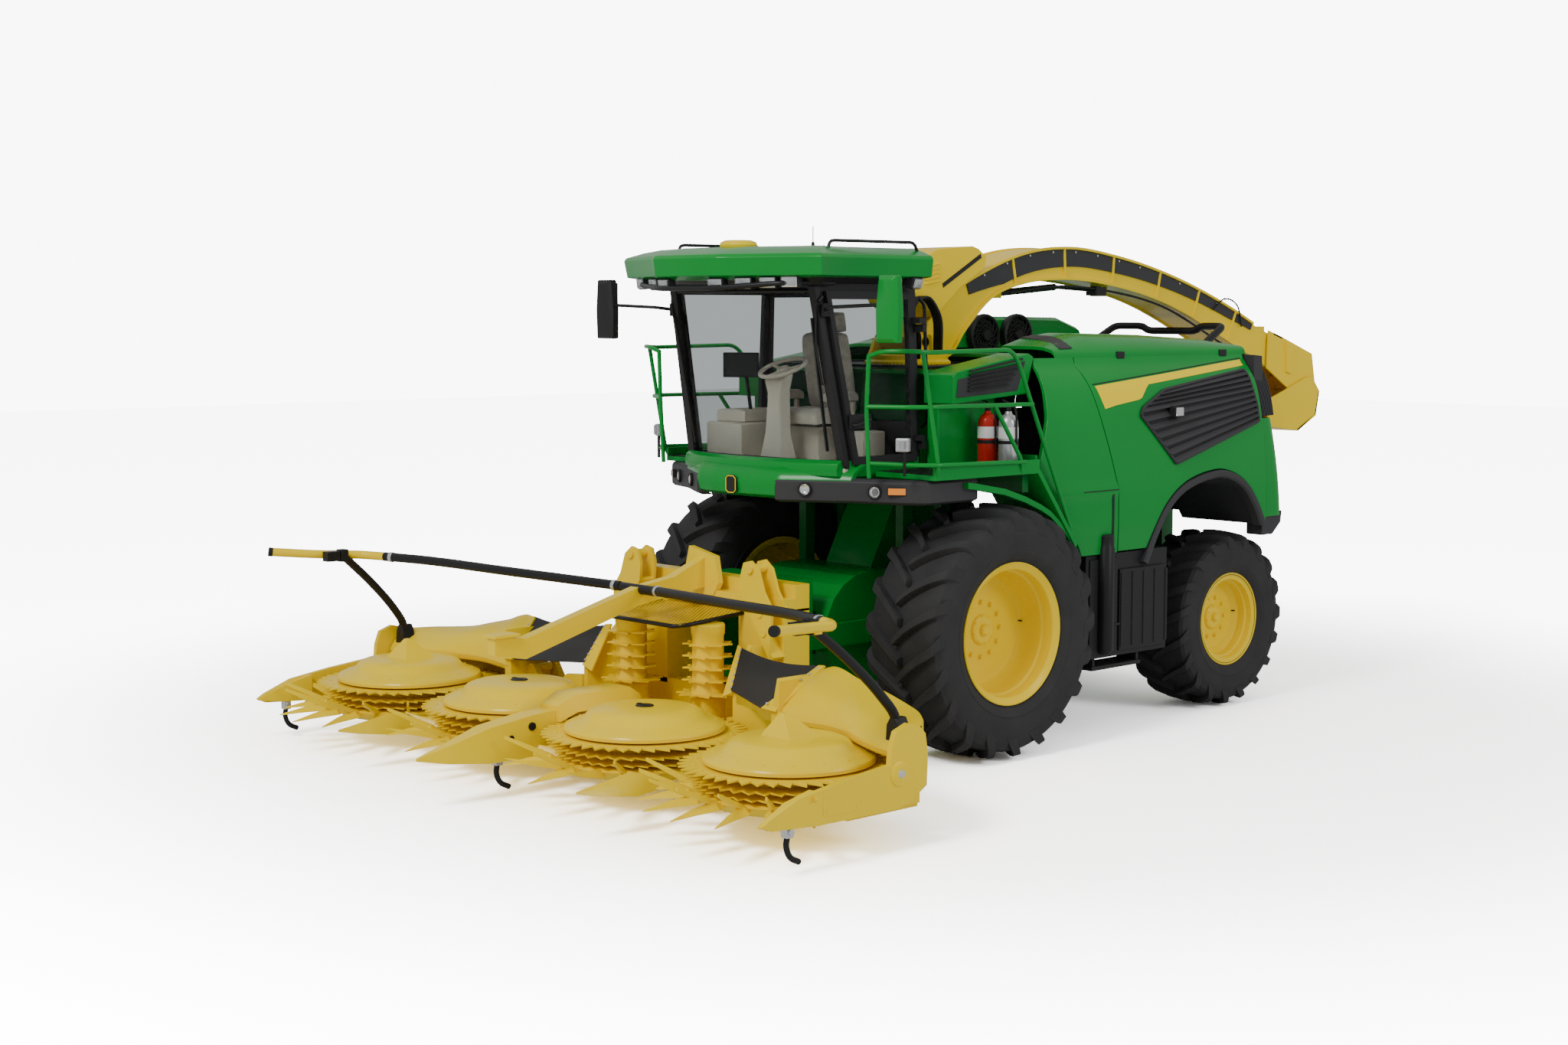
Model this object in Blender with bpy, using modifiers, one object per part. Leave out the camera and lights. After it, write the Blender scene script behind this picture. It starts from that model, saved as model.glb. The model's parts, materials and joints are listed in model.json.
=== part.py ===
"""Self-propelled forage harvester with a four-rotor row-independent header.

Metres, +Z up. The machine faces -Y, its left side is +X.
Stations below are measured from the front axle: y = 0 at the front axle, z = 0 on the ground.
The parent empty "machine" moves everything so that the origin is the middle of the footprint.
"""

import math

import bmesh
import bpy
from mathutils import Matrix, Vector

# ---------------------------------------------------------------- driving dimensions
ORIGIN_STATION = 0.8550   # distance from the front axle back to the middle of the whole length
WHEELBASE = 3.20
SEAT_GAP = 0.0003         # between two fixed pieces that rest on each other
STUB_PLAY = 0.0012        # round a shaft in its bore, between faceted cylinders
PIN_SIDES = 16
BORE = 1.03               # a pin's bore is this much wider, so that its flats clear the pin's corners

FRONT_TYRE_RADIUS = 0.99
FRONT_TYRE_WIDTH = 0.71
FRONT_TYRE_X = 1.31
FRONT_RIM_RADIUS = 0.553
FRONT_DISC_OFFSET = -0.04
REAR_TYRE_RADIUS = 0.77
REAR_TYRE_WIDTH = 0.60
REAR_TYRE_X = 1.05
REAR_RIM_RADIUS = 0.405
REAR_DISC_OFFSET = 0.05
DISC_THICKNESS = 0.03
BARREL_WALL = 0.050
KINGPIN_X = 0.70
STEER_ARM = 0.17

ROTOR_Y = -2.92
ROTOR_RADIUS = 0.735
DOME_RADIUS = 0.57
DOME_TOP = 0.665
POST_RADIUS = 0.07
DRUM_X = 0.45
DRUM_Y = -2.07
WING_HINGE = (1.50, 0.60)
LIFT_PIVOT = (-0.45, 0.95)

CAB_HALF_WIDTH = 0.90
CAB_FLOOR = 2.27
CAB_CEILING = 3.655
SIDE_TOP = 1.50           # top of the side tanks, where the body panels stand
SKIN = 0.04
DOOR_REAR = 3.44
SEAM_FOOT = 1.41          # station of the seam between front panel and service door
DOOR_HINGE = (1.232, 3.070)
PLATFORM_TOP = 2.24

TURRET_Y = 0.50
DECK_TOP = 3.00
SPOUT_PIVOT = (0.42, 3.16)
SPOUT_HALF_WIDTH = 0.21
DEFLECTOR_PIVOT = (5.42, 3.06)
TIP_PIVOT = (5.90, 2.74)

# ---------------------------------------------------------------- paint
GREEN = ((0.010, 0.235, 0.050), 0.35, 0.0)
DARK_GREEN = ((0.006, 0.110, 0.028), 0.45, 0.0)
YELLOW = ((0.860, 0.620, 0.010), 0.38, 0.0)
CHARCOAL = ((0.060, 0.061, 0.063), 0.55, 0.0)
BLACK = ((0.018, 0.018, 0.019), 0.60, 0.0)
TYRE = ((0.030, 0.030, 0.032), 0.85, 0.0)
GLASS = ((0.62, 0.66, 0.66), 0.05, 0.0)
BEIGE = ((0.45, 0.40, 0.32), 0.70, 0.0)
STEEL = ((0.55, 0.56, 0.57), 0.35, 0.9)

parts = bpy.data.collections.new("forage_harvester")
tools = bpy.data.collections.new("cutters_and_joined_shapes")


def clear_scene():
    """Removes whatever is in the scene and links the two collections."""
    for obj in list(bpy.data.objects):
        bpy.data.objects.remove(obj)
    bpy.context.scene.collection.children.link(parts)
    bpy.context.scene.collection.children.link(tools)


def paint(name, look):
    """One Principled material for each paint or plastic."""
    found = bpy.data.materials.get(name)
    if found:
        return found
    colour, roughness, metallic = look
    material = bpy.data.materials.new(name)
    material.use_nodes = True
    shader = material.node_tree.nodes["Principled BSDF"]
    shader.inputs["Base Color"].default_value = (*colour, 1)
    shader.inputs["Roughness"].default_value = roughness
    shader.inputs["Metallic"].default_value = metallic
    return material


# ---------------------------------------------------------------- shape helpers
def add(name, mesh):
    obj = bpy.data.objects.new(name, mesh)
    tools.objects.link(obj)
    obj.hide_render = True
    obj.display_type = "WIRE"
    return obj


def tidy_mesh(mesh):
    """Welds doubled points and turns every face outwards."""
    work = bmesh.new()
    work.from_mesh(mesh)
    bmesh.ops.remove_doubles(work, verts=work.verts, dist=0.00005)
    bmesh.ops.recalc_face_normals(work, faces=work.faces)
    work.to_mesh(mesh)
    work.free()
    return mesh


def solidified(obj):
    """The evaluated mesh of a curve or modified object, as a plain mesh object in its place."""
    bpy.context.view_layer.update()
    graph = bpy.context.evaluated_depsgraph_get()
    mesh = bpy.data.meshes.new_from_object(obj.evaluated_get(graph))
    mesh.transform(obj.matrix_world)
    name = obj.name
    bpy.data.objects.remove(obj)
    return add(name, tidy_mesh(mesh))


def box(name, x, y, z):
    """A block between two values on each axis."""
    work = bmesh.new()
    bmesh.ops.create_cube(work, size=1)
    size = Vector((x[1] - x[0], y[1] - y[0], z[1] - z[0]))
    centre = Vector((x[0] + x[1], y[0] + y[1], z[0] + z[1])) / 2
    bmesh.ops.scale(work, vec=size, verts=work.verts)
    bmesh.ops.translate(work, vec=centre, verts=work.verts)
    mesh = bpy.data.meshes.new(name)
    work.to_mesh(mesh)
    work.free()
    return add(name, mesh)


def plate(name, outline, normal, low, high):
    """A flat outline given its thickness along one axis.

    The outline's pairs are (y, z) for normal X, (x, z) for normal Y and (x, y) for normal Z.
    """
    curve = bpy.data.curves.new(name, "CURVE")
    curve.dimensions = "2D"
    curve.fill_mode = "BOTH"
    curve.extrude = (high - low) / 2
    spline = curve.splines.new("POLY")
    spline.points.add(len(outline) - 1)
    for point, (a, b) in zip(spline.points, outline):
        point.co = (a, b, 0, 1)
    spline.use_cyclic_u = True
    obj = bpy.data.objects.new(name, curve)
    tools.objects.link(obj)
    middle = (low + high) / 2
    if normal == "X":
        obj.matrix_world = Matrix(((0, 0, 1, middle), (1, 0, 0, 0), (0, 1, 0, 0), (0, 0, 0, 1)))
    elif normal == "Y":
        obj.matrix_world = Matrix(((1, 0, 0, 0), (0, 0, -1, middle), (0, 1, 0, 0), (0, 0, 0, 1)))
    else:
        obj.location.z = middle
    return solidified(obj)


def lathe(name, profile, axis, centre, steps, ring=False):
    """A turned shape: (along the axis, radius) pairs swept round an axis through centre."""
    mesh = bpy.data.meshes.new(name)
    edges = [(i, i + 1) for i in range(len(profile) - 1)]
    if ring:
        edges.append((len(profile) - 1, 0))
    if axis == "X":
        points = [(a, r, 0) for a, r in profile]
    else:
        points = [(r, 0, a) for a, r in profile]
    mesh.from_pydata(points, edges, [])
    obj = add(name, mesh)
    screw = obj.modifiers.new("turn", "SCREW")
    screw.axis = axis
    screw.steps = steps
    screw.render_steps = steps
    screw.use_merge_vertices = True
    screw.merge_threshold = 0.0001
    obj.location = centre
    return solidified(obj)


def rod(name, start, end, radius, sides=10):
    """A round bar between two points."""
    work = bmesh.new()
    start, end = Vector(start), Vector(end)
    bmesh.ops.create_cone(work, cap_ends=True, segments=sides, radius1=radius, radius2=radius,
                          depth=(end - start).length)
    turn = (end - start).to_track_quat("Z", "Y").to_matrix().to_4x4()
    bmesh.ops.transform(work, matrix=Matrix.Translation((start + end) / 2) @ turn, verts=work.verts)
    mesh = bpy.data.meshes.new(name)
    work.to_mesh(mesh)
    work.free()
    return add(name, mesh)


def tube(name, points, radius, resolution=1):
    """A bent tube along a path, capped at both ends."""
    curve = bpy.data.curves.new(name, "CURVE")
    curve.dimensions = "3D"
    curve.bevel_depth = radius
    curve.bevel_resolution = resolution
    curve.use_fill_caps = True
    spline = curve.splines.new("POLY")
    spline.points.add(len(points) - 1)
    for point, place in zip(spline.points, points):
        point.co = (*place, 1)
    obj = bpy.data.objects.new(name, curve)
    tools.objects.link(obj)
    return solidified(obj)


def loft(name, sections):
    """A closed skin through sections that have the same number of corners, with capped ends."""
    count = len(sections[0])
    points = [Vector(p) for section in sections for p in section]
    faces = []
    for s in range(len(sections) - 1):
        for i in range(count):
            a, b = s * count + i, s * count + (i + 1) % count
            faces.append((a, b, b + count, a + count))
    faces.append(tuple(range(count))[::-1])
    faces.append(tuple((len(sections) - 1) * count + i for i in range(count)))
    mesh = bpy.data.meshes.new(name)
    mesh.from_pydata(points, [], faces)
    return add(name, tidy_mesh(mesh))


def offset_path(path, distance):
    """A path moved sideways: to the left of its direction for a positive distance."""
    moved = []
    for i, here in enumerate(path):
        before = Vector(path[max(i - 1, 0)])
        after = Vector(path[min(i + 1, len(path) - 1)])
        here = Vector(here)
        normals = []
        for a, b in ((before, here), (here, after)):
            if (b - a).length > 1e-9:
                along = (b - a).normalized()
                normals.append(Vector((-along.y, along.x)))
        mean = sum(normals, Vector((0, 0))).normalized()
        moved.append(tuple(here + mean * distance / mean.dot(normals[0])))
    return moved


def strip(path, thickness):
    """The closed outline of a bent sheet whose outer face follows the path."""
    return list(path) + offset_path(path, thickness)[::-1]


def join(target, *others, solver="EXACT"):
    """One solid from overlapping shapes."""
    for other in others:
        union = target.modifiers.new("join " + other.name, "BOOLEAN")
        union.operation = "UNION"
        union.solver = solver
        union.object = other
    return target


def cut(target, *cutters, solver="EXACT"):
    for cutter in cutters:
        away = target.modifiers.new("cut " + cutter.name, "BOOLEAN")
        away.operation = "DIFFERENCE"
        away.solver = solver
        away.object = cutter
    return target


def bevelled(obj, width, angle=35):
    bevel = obj.modifiers.new("edge", "BEVEL")
    bevel.width = width
    bevel.segments = 1
    bevel.limit_method = "ANGLE"
    bevel.angle_limit = math.radians(angle)
    return obj


# ---------------------------------------------------------------- assembly helpers
stations = {}


def pivot(name, at, parent=None):
    """An empty on a joint's axis, at a station."""
    empty = bpy.data.objects.new(name, None)
    parts.objects.link(empty)
    stations[name] = Vector(at)
    empty.parent = parent
    empty.location = Vector(at) - (stations[parent.name] if parent else Vector((0, 0, 0)))
    return empty


def place(obj, name, material, on):
    """Makes a finished shape a part: named, painted, smooth and carried by its pivot."""
    tools.objects.unlink(obj)
    parts.objects.link(obj)
    obj.name = name
    obj.hide_render = False
    obj.display_type = "TEXTURED"
    obj.data.materials.clear()
    obj.data.materials.append(material)
    # The part turns about its pivot, so its own origin is there too.
    shift = stations[on.name]
    obj.data.transform(Matrix.Translation(-shift))
    obj.parent = on
    for modifier in obj.modifiers:
        operand = getattr(modifier, "object", None)
        if modifier.type == "BOOLEAN" and operand.parent is None:
            follow(operand, on, shift)
    obj.data.shade_smooth()
    obj.data.set_sharp_from_angle(angle=math.radians(32))
    return obj


def follow(operand, on, shift):
    """An operand of a Boolean keeps its place beside the part that it shapes."""
    operand.parent = on
    operand.location = operand.location - shift
    for modifier in operand.modifiers:
        inner = getattr(modifier, "object", None)
        if modifier.type == "BOOLEAN" and inner.parent is None:
            follow(inner, on, shift)


def mirrored(points):
    return [(-p[0], *p[1:]) for p in points]


SIDES = (("left", 1), ("right", -1))


def span(side, low, high):
    """An x range on the left side, or its mirror image on the right."""
    return (low, high) if side > 0 else (-high, -low)


# ---------------------------------------------------------------- chassis, axles, engine
def chassis_frame(machine):
    frame = box("spine", (-0.26, 0.26), (2.25, 3.98), (1.0, 1.24))
    pieces = [
        box("cross member", (-0.60, 0.60), (2.10, 2.30), (1.0, 1.24)),
        box("hitch", (-0.10, 0.10), (3.90, 4.15), (0.80, 1.10)),
        box("engine foot front", (-0.26, 0.26), (2.42, 2.56), (1.20, 1.60)),
        box("engine foot rear", (-0.26, 0.26), (3.16, 3.30), (1.20, 1.60)),
        box("rear post", (-0.26, 0.26), (3.60, 3.76), (1.20, 1.66)),
        box("tank beam front", (-0.7997, 0.7997), (1.30, 1.40), (1.02, 1.12)),
        box("tank beam rear", (-0.7997, 0.7997), (1.80, 1.90), (1.02, 1.12)),
        box("platform beam", (-1.3897, 1.3897), (-0.60, -0.50), (2.05, 2.1997)),
    ]
    for side in (1, -1):
        pieces += [
            box("rail", span(side, 0.52, 0.60), (-0.1697, 2.20), (1.0, 1.24)),
            box("front post", span(side, 0.52, 0.60), (-0.16, -0.06), (1.20, 2.10)),
            box("deck post", span(side, 0.52, 0.60), (0.28, 0.38), (1.20, 2.9597)),
            box("cab rail", span(side, 0.51, 0.61), (-1.0, 0.37), (2.06, 2.1997)),
            box("rear platform beam", span(side, 0.55, 1.45), (0.29, 0.36), (2.05, 2.1997)),
        ]
    place(join(frame, *pieces), "chassis_frame", paint("dark_green_paint", DARK_GREEN), machine)


def front_axle(machine):
    beam = box("beam", (-0.72, 0.72), (-0.16, 0.16), (0.80, 0.9997))
    disc = FRONT_TYRE_X + FRONT_DISC_OFFSET
    inner = disc - DISC_THICKNESS / 2
    for side in (1, -1):
        profile = [(0.62, 0.0), (0.62, 0.29), (0.98, 0.29), (1.10, 0.19), (inner - 0.006, 0.19),
                   (inner - 0.006, 0.06), (disc + 0.025, 0.06), (disc + 0.025, 0.0)]
        join(beam, lathe("final drive", [(side * a, r) for a, r in profile], "X",
                         (0, 0, FRONT_TYRE_RADIUS), 16))
    place(beam, "front_axle", paint("dark_green_paint", DARK_GREEN), machine)


def rear_axle(machine):
    beam = box("beam", (-0.64, 0.64), (WHEELBASE - 0.09, WHEELBASE + 0.09), (0.64, 0.90))
    pieces = [
        box("saddle", (-0.24, 0.24), (WHEELBASE - 0.09, WHEELBASE + 0.09), (0.88, 0.9997)),
        box("cylinder", (-0.22, 0.22), (WHEELBASE + 0.05, WHEELBASE + STEER_ARM + 0.05), (0.72, 0.82)),
    ]
    cutters = [rod("rod bore", (-0.3, WHEELBASE + STEER_ARM, 0.77), (0.3, WHEELBASE + STEER_ARM, 0.77),
                   0.0255)]
    for side in (1, -1):
        pieces += [
            box("fork root", span(side, 0.52, 0.60), (WHEELBASE - 0.08, WHEELBASE + 0.08), (0.55, 0.99)),
            box("fork top", span(side, 0.56, 0.77), (WHEELBASE - 0.08, WHEELBASE + 0.08), (0.93, 0.99)),
            box("fork foot", span(side, 0.56, 0.77), (WHEELBASE - 0.08, WHEELBASE + 0.08), (0.55, 0.61)),
        ]
        cutters += [
            box("knuckle room", span(side, 0.572, 0.80), (WHEELBASE - 0.2, WHEELBASE + 0.2), (0.61, 0.93)),
            rod("kingpin bore", (side * KINGPIN_X, WHEELBASE, 0.5), (side * KINGPIN_X, WHEELBASE, 1.05),
                0.04 * BORE, PIN_SIDES),
        ]
    place(cut(join(beam, *pieces), *cutters), "rear_axle", paint("dark_green_paint", DARK_GREEN),
          machine)


def knuckle(name, side, on):
    """Steering knuckle: kingpin, stub axle and steering arm. Its pivot stands on the kingpin."""
    disc = REAR_TYRE_X + REAR_DISC_OFFSET
    inner = disc - DISC_THICKNESS / 2
    profile = [(KINGPIN_X, 0.0), (KINGPIN_X, 0.13), (inner - 0.006, 0.13), (inner - 0.006, 0.05),
               (disc + 0.025, 0.05), (disc + 0.025, 0.0)]
    body = box("body", span(side, 0.64, 0.77), (WHEELBASE - 0.07, WHEELBASE + 0.07), (0.617, 0.923))
    join(body,
         rod("kingpin", (side * KINGPIN_X, WHEELBASE, 0.552), (side * KINGPIN_X, WHEELBASE, 0.988), 0.04,
             PIN_SIDES),
         lathe("stub", [(side * a, r) for a, r in profile], "X", (0, WHEELBASE, REAR_TYRE_RADIUS), 16),
         box("arm", span(side, 0.67, 0.72), (WHEELBASE, WHEELBASE + STEER_ARM + 0.04), (0.74, 0.80)))
    place(body, name, paint("charcoal", CHARCOAL), on)


def wheel(name, side, on, centre, radius, width, rim, offset, stub, steps):
    """A tyre and a dished disc rim with a blind hub bore that runs on the axle's stub."""
    half = width / 2
    barrel = rim - 0.025
    seat = half - 0.035
    tyre = [(-seat + 0.028, barrel + SEAT_GAP), (-seat + 0.028, rim + 0.02), (-half, rim + 0.16),
            (-half + 0.03, radius - 0.05), (-half + 0.10, radius), (half - 0.10, radius),
            (half - 0.03, radius - 0.05), (half, rim + 0.16), (seat - 0.028, rim + 0.02),
            (seat - 0.028, barrel + SEAT_GAP)]
    middle = offset + DISC_THICKNESS / 2
    rear = offset - DISC_THICKNESS / 2
    hollow = barrel - BARREL_WALL
    dish = [(offset + 0.055, 0.0), (offset + 0.055, stub + 0.10), (middle, stub + 0.16),
            (middle, hollow - 0.02), (seat, hollow + 0.025), (seat, rim), (seat - 0.022, rim),
            (seat - 0.022, barrel), (-seat + 0.022, barrel), (-seat + 0.022, rim), (-seat, rim),
            (-seat, hollow + 0.015), (rear, hollow), (rear, stub + STUB_PLAY),
            (offset + 0.028, stub + STUB_PLAY), (offset + 0.028, 0.0)]
    place(lathe("tyre", [(side * a, r) for a, r in tyre], "X", centre, steps, ring=True),
          "tyre_" + name, paint("tyre_rubber", TYRE), on)
    place(lathe("rim", [(side * a, r) for a, r in dish], "X", centre, steps),
          "rim_" + name, paint("yellow_paint", YELLOW), on)


def running_gear(machine):
    front_axle(machine)
    rear_axle(machine)
    for word, side in SIDES:
        centre = (side * FRONT_TYRE_X, 0, FRONT_TYRE_RADIUS)
        wheel("front_" + word, side, pivot("front_spin_" + word, centre, machine), centre,
              FRONT_TYRE_RADIUS, FRONT_TYRE_WIDTH, FRONT_RIM_RADIUS, FRONT_DISC_OFFSET, 0.06, 20)
        turn = pivot("steer_" + word, (side * KINGPIN_X, WHEELBASE, REAR_TYRE_RADIUS), machine)
        knuckle("knuckle_" + word, side, turn)
        centre = (side * REAR_TYRE_X, WHEELBASE, REAR_TYRE_RADIUS)
        wheel("rear_" + word, side, pivot("rear_spin_" + word, centre, turn), centre,
              REAR_TYRE_RADIUS, REAR_TYRE_WIDTH, REAR_RIM_RADIUS, REAR_DISC_OFFSET, 0.05, 20)
    slide = pivot("steering_slide", (0, WHEELBASE + STEER_ARM, 0.77), machine)
    place(rod("rod", (-0.50, WHEELBASE + STEER_ARM, 0.77), (0.50, WHEELBASE + STEER_ARM, 0.77), 0.025),
          "steering_rod", paint("bare_steel", STEEL), slide)


def drive_line(machine):
    """Engine block, cutterhead housing and the crop channel that rises to the spout turret."""
    block = box("block", (-0.55, 0.55), (2.42, 3.30), (1.6003, 2.45))
    join(block, box("head", (-0.30, 0.30), (2.46, 3.26), (2.40, 2.75)))
    place(bevelled(block, 0.03), "engine", paint("charcoal", CHARCOAL), machine)

    y, z = LIFT_PIVOT
    arc = [(y + 0.46 * math.cos(a), z + 0.46 * math.sin(a))
           for a in [math.radians(90 + 18 * i) for i in range(11)]]
    drum = plate("housing", arc + [(-0.1703, 0.49), (-0.1703, 1.41)], "X", -0.50, 0.50)
    join(drum,
         box("flange", (-0.60, 0.60), (-0.205, -0.1703), (1.02, 1.22)),
         rod("lift pins", (-0.60, y, z), (0.60, y, z), 0.05, PIN_SIDES))
    cut(drum, box("crop mouth", (-0.36, 0.36), (-1.20, -0.62), (0.78, 1.12)))
    place(drum, "cutterhead_housing", paint("green_paint", GREEN), machine)

    outline = [(-0.17, 1.02), (-0.17, 1.42), (0.16, 2.05), (0.24, 2.95), (0.76, 2.95), (0.76, 2.20),
               (0.40, 1.30), (0.10, 1.02)]
    channel = plate("channel", outline, "X", -0.26, 0.26)
    join(channel, lathe("neck", [(2.90, 0.25), (3.06, 0.25), (3.06, 0.0), (2.90, 0.0)][::-1], "Z",
                        (0, TURRET_Y, 0), 24))
    inner = [(-0.30, 1.08), (-0.30, 1.36), (-0.14, 1.36), (0.20, 2.03), (0.28, 2.90), (0.72, 2.90),
             (0.72, 2.21), (0.37, 1.33), (0.08, 1.08)]
    cut(channel, plate("crop path", inner, "X", -0.22, 0.22),
        lathe("neck bore", [(2.80, 0.0), (2.80, 0.21), (3.20, 0.21), (3.20, 0.0)], "Z",
              (0, TURRET_Y, 0), 24))
    place(channel, "crop_channel", paint("green_paint", GREEN), machine)


# ---------------------------------------------------------------- body
def panel(name, profile, thickness, front, rear):
    """A bent sheet: (x, z) points carried along y from front(z) to rear(z)."""
    outer = list(profile)
    inner = offset_path(profile, thickness)
    loop = outer + inner[::-1]
    count = len(outer)
    points = [(x, front(z), z) for x, z in loop] + [(x, rear(z), z) for x, z in loop]
    total = len(loop)
    faces = [(i, (i + 1) % total, (i + 1) % total + total, i + total) for i in range(total)]
    for i in range(count - 1):
        quad = (i, i + 1, total - 2 - i, total - 1 - i)
        faces += [quad, tuple(total + q for q in quad[::-1])]
    mesh = bpy.data.meshes.new(name)
    mesh.from_pydata(points, [], faces)
    return add(name, tidy_mesh(mesh))


def along(table):
    """A value that follows z through a table of (z, value) pairs."""
    def value(z):
        for (z0, v0), (z1, v1) in zip(table, table[1:]):
            if z <= z1:
                return v0 + (v1 - v0) * (z - z0) / (z1 - z0)
        return table[-1][1]
    return value


def seam(z):
    """The slanted seam between the front panel and the service door, upright above the shoulder so the door can lift."""
    return SEAM_FOOT if z < 2.02 else SEAM_FOOT - 0.264 * (min(z, 2.98) - 2.02)


def side_profile(side, foot):
    """Section of the body side, from its foot up to the hood joint."""
    points = [(1.50, foot), (1.50, 2.02), (1.45, 2.50), (1.37, 2.84), (1.22, 3.02), (1.22, 3.08)]
    return [(side * x, z) for x, z in points]


def arch_path():
    return [(1.74, 1.40), (2.05, 1.86), (2.45, 2.06), (2.80, 2.10), (3.15, 1.97), (3.42, 1.62)]


def body_sides(machine):
    green = paint("green_paint", GREEN)
    charcoal = paint("charcoal", CHARCOAL)
    front_edge = along([(1.50, 0.96), (1.61, 0.90), (1.87, 0.70), (2.24, 0.45), (2.60, 0.60), (3.08, 0.66)])
    for word, side in SIDES:
        fixed = panel("front panel", side_profile(side, SIDE_TOP + SEAT_GAP), side * SKIN, front_edge,
                      lambda z: seam(z) - 0.006)
        place(fixed, "front_side_panel_" + word, green, machine)

        hinge_y, hinge_z = DOOR_HINGE
        turn = pivot("service_door_turn_" + word, (side * hinge_y, SEAM_FOOT, hinge_z), machine)
        door = panel("service door", side_profile(side, SIDE_TOP + 0.012), side * SKIN,
                     lambda z: seam(z) + 0.002, lambda z: DOOR_REAR)
        cutter = plate("arch room", [(1.69, 1.30)] + offset_path(arch_path(), 0.012)[1:]
                       + [(3.60, 1.55), (3.60, 1.30)], "X", side * 1.48 - 0.25, side * 1.48 + 0.25)
        top = box("hinge relief", span(side, 1.0, 1.4), (1.0, 3.6), (3.072, 3.2))
        notches = [box("ear room", span(side, 1.10, 1.30), (y + 0.0505, y + 0.108), (3.03, 3.2)) for y in (1.70, 3.10)]
        cut(door, cutter, top, *notches)
        lug = [(1.214, 2.99), (1.214, 3.05), (hinge_y - 0.005, hinge_z + 0.010), (hinge_y + 0.012, hinge_z + 0.010),
               (hinge_y + 0.016, hinge_z - 0.01), (1.240, 2.99)]
        for y in (1.70, 3.10):
            join(door, plate("lug", [(side * a, b) for a, b in lug], "Y", y, y + 0.05),
                 rod("pin", (side * hinge_y, y + 0.02, hinge_z), (side * hinge_y, y + 0.095, hinge_z), 0.006,
                     PIN_SIDES))
        place(door, "service_door_" + word, green, turn)

        path = arch_path()
        liner = plate("arch liner", strip(path, -0.03), "X", *span(side, 0.64, 1.455))
        join(liner, box("foot", span(side, 0.62, 0.80), (1.78, 1.90), (SIDE_TOP - 0.04, 1.56)))
        cut(liner, box("below the tank top", span(side, 0.5, 1.6), (1.6, 2.1495), (1.2, SIDE_TOP + SEAT_GAP)))
        place(liner, "wheel_arch_" + word, charcoal, machine)

        tank = box("tank", span(side, 0.80, 1.495), (1.05, 2.10), (0.65, SIDE_TOP))
        cut(tank, box("panel step", span(side, 1.47, 1.6), (1.0, 2.2), (0.60, 1.40)))
        if side > 0:
            join(tank, box("step", (1.22, 1.46), (1.15, 1.78), (0.55, 0.58)),
                 box("hanger", (1.24, 1.45), (1.17, 1.20), (0.56, 0.70)),
                 box("hanger rear", (1.24, 1.45), (1.73, 1.76), (0.56, 0.70)))
        place(tank, "side_tank_" + word, charcoal, machine)


def hood(machine):
    """The hood, closed at the rear by the radiator frame, and the box with the rotary screens."""
    def section(y, rise):
        outer = [(1.22, 3.0803), (1.22, 3.12), (1.10, 3.14 + rise * 0.6), (0.90, 3.14 + rise),
                 (0.66, 3.14 + rise), (0.62, 3.12)]
        outer += mirrored(outer)[::-1]
        return [(x, y, z) for x, z in outer + offset_path(outer, SKIN)[::-1]]

    places = ((0.92, 0.07), (1.45, 0.13), (2.34, 0.11), (3.48, 0.04))
    cover = loft("hood", [section(y, rise) for y, rise in places])
    x, z = DOOR_HINGE
    ear = [(1.195, z + 0.024), (1.195, z + 0.044), (x + 0.004, z + 0.044), (x + 0.018, z), (x, z - 0.018),
           (x - 0.010, z - 0.004), (x - 0.010, z + 0.024)]
    for side in (1, -1):
        for at in (1.758, 3.158):
            join(cover, plate("bracket", [(side * a, b) for a, b in ear], "Y", at, at + 0.04))
            cut(cover, rod("pin bore", (side * x, at - 0.02, z), (side * x, at + 0.06, z), 0.0065, PIN_SIDES))
    outline = [(1.62, 3.13), (1.62, 3.34), (1.90, 3.39), (3.05, 3.39), (3.38, 3.26), (3.38, 3.13)]
    join(cover, plate("screen box", outline, "X", -1.05, -0.52))
    place(cover, "hood", paint("green_paint", GREEN), machine)

    outline = [(3.46, 1.66 + SEAT_GAP), (3.76, 1.66 + SEAT_GAP), (3.72, 1.90), (3.62, 3.08), (3.46, 3.08)]
    rear = plate("rear", outline, "X", -1.46, 1.46)
    cut(rear, box("radiator room", (-1.30, 1.30), (3.30, 3.56), (1.78, 2.98)),
        *[plate("chamfer", [(side * 1.60, 1.5), (side * 1.60, 3.2), (side * 1.19, 3.2),
                            (side * 1.19, 3.06), (side * 1.37, 2.84), (side * 1.47, 2.02),
                            (side * 1.47, 1.5)], "Y", 3.30, 3.90) for side in (1, -1)])
    place(rear, "rear_frame_panel", paint("charcoal", CHARCOAL), machine)


def deck(machine):
    """Deck round the turret and the air intakes beside it."""
    top = box("deck", (-0.93, 0.93), (-0.24, 0.90), (2.96, DECK_TOP))
    for side in (1, -1):
        join(top,
             plate("duct", [(-0.27, 2.74), (-0.25, 2.97), (0.62, 3.12), (0.55, 2.80)], "X",
                   *span(side, 0.92, 1.24)),
             box("wall", span(side, 0.94, 1.06), (-0.25, 0.40), (PLATFORM_TOP + SEAT_GAP, 2.78)))
    cut(top, lathe("hole", [(2.8, 0.0), (2.8, 0.2505), (3.2, 0.2505), (3.2, 0.0)][::-1], "Z",
                   (0, TURRET_Y, 0), 24))
    place(top, "top_deck", paint("green_paint", GREEN), machine)


# ---------------------------------------------------------------- cab and platform
LEAN_IN = 0.0505          # the cab sides lean in with height
LEAN_FORWARD = 0.1877     # and the windshield leans forward


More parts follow.
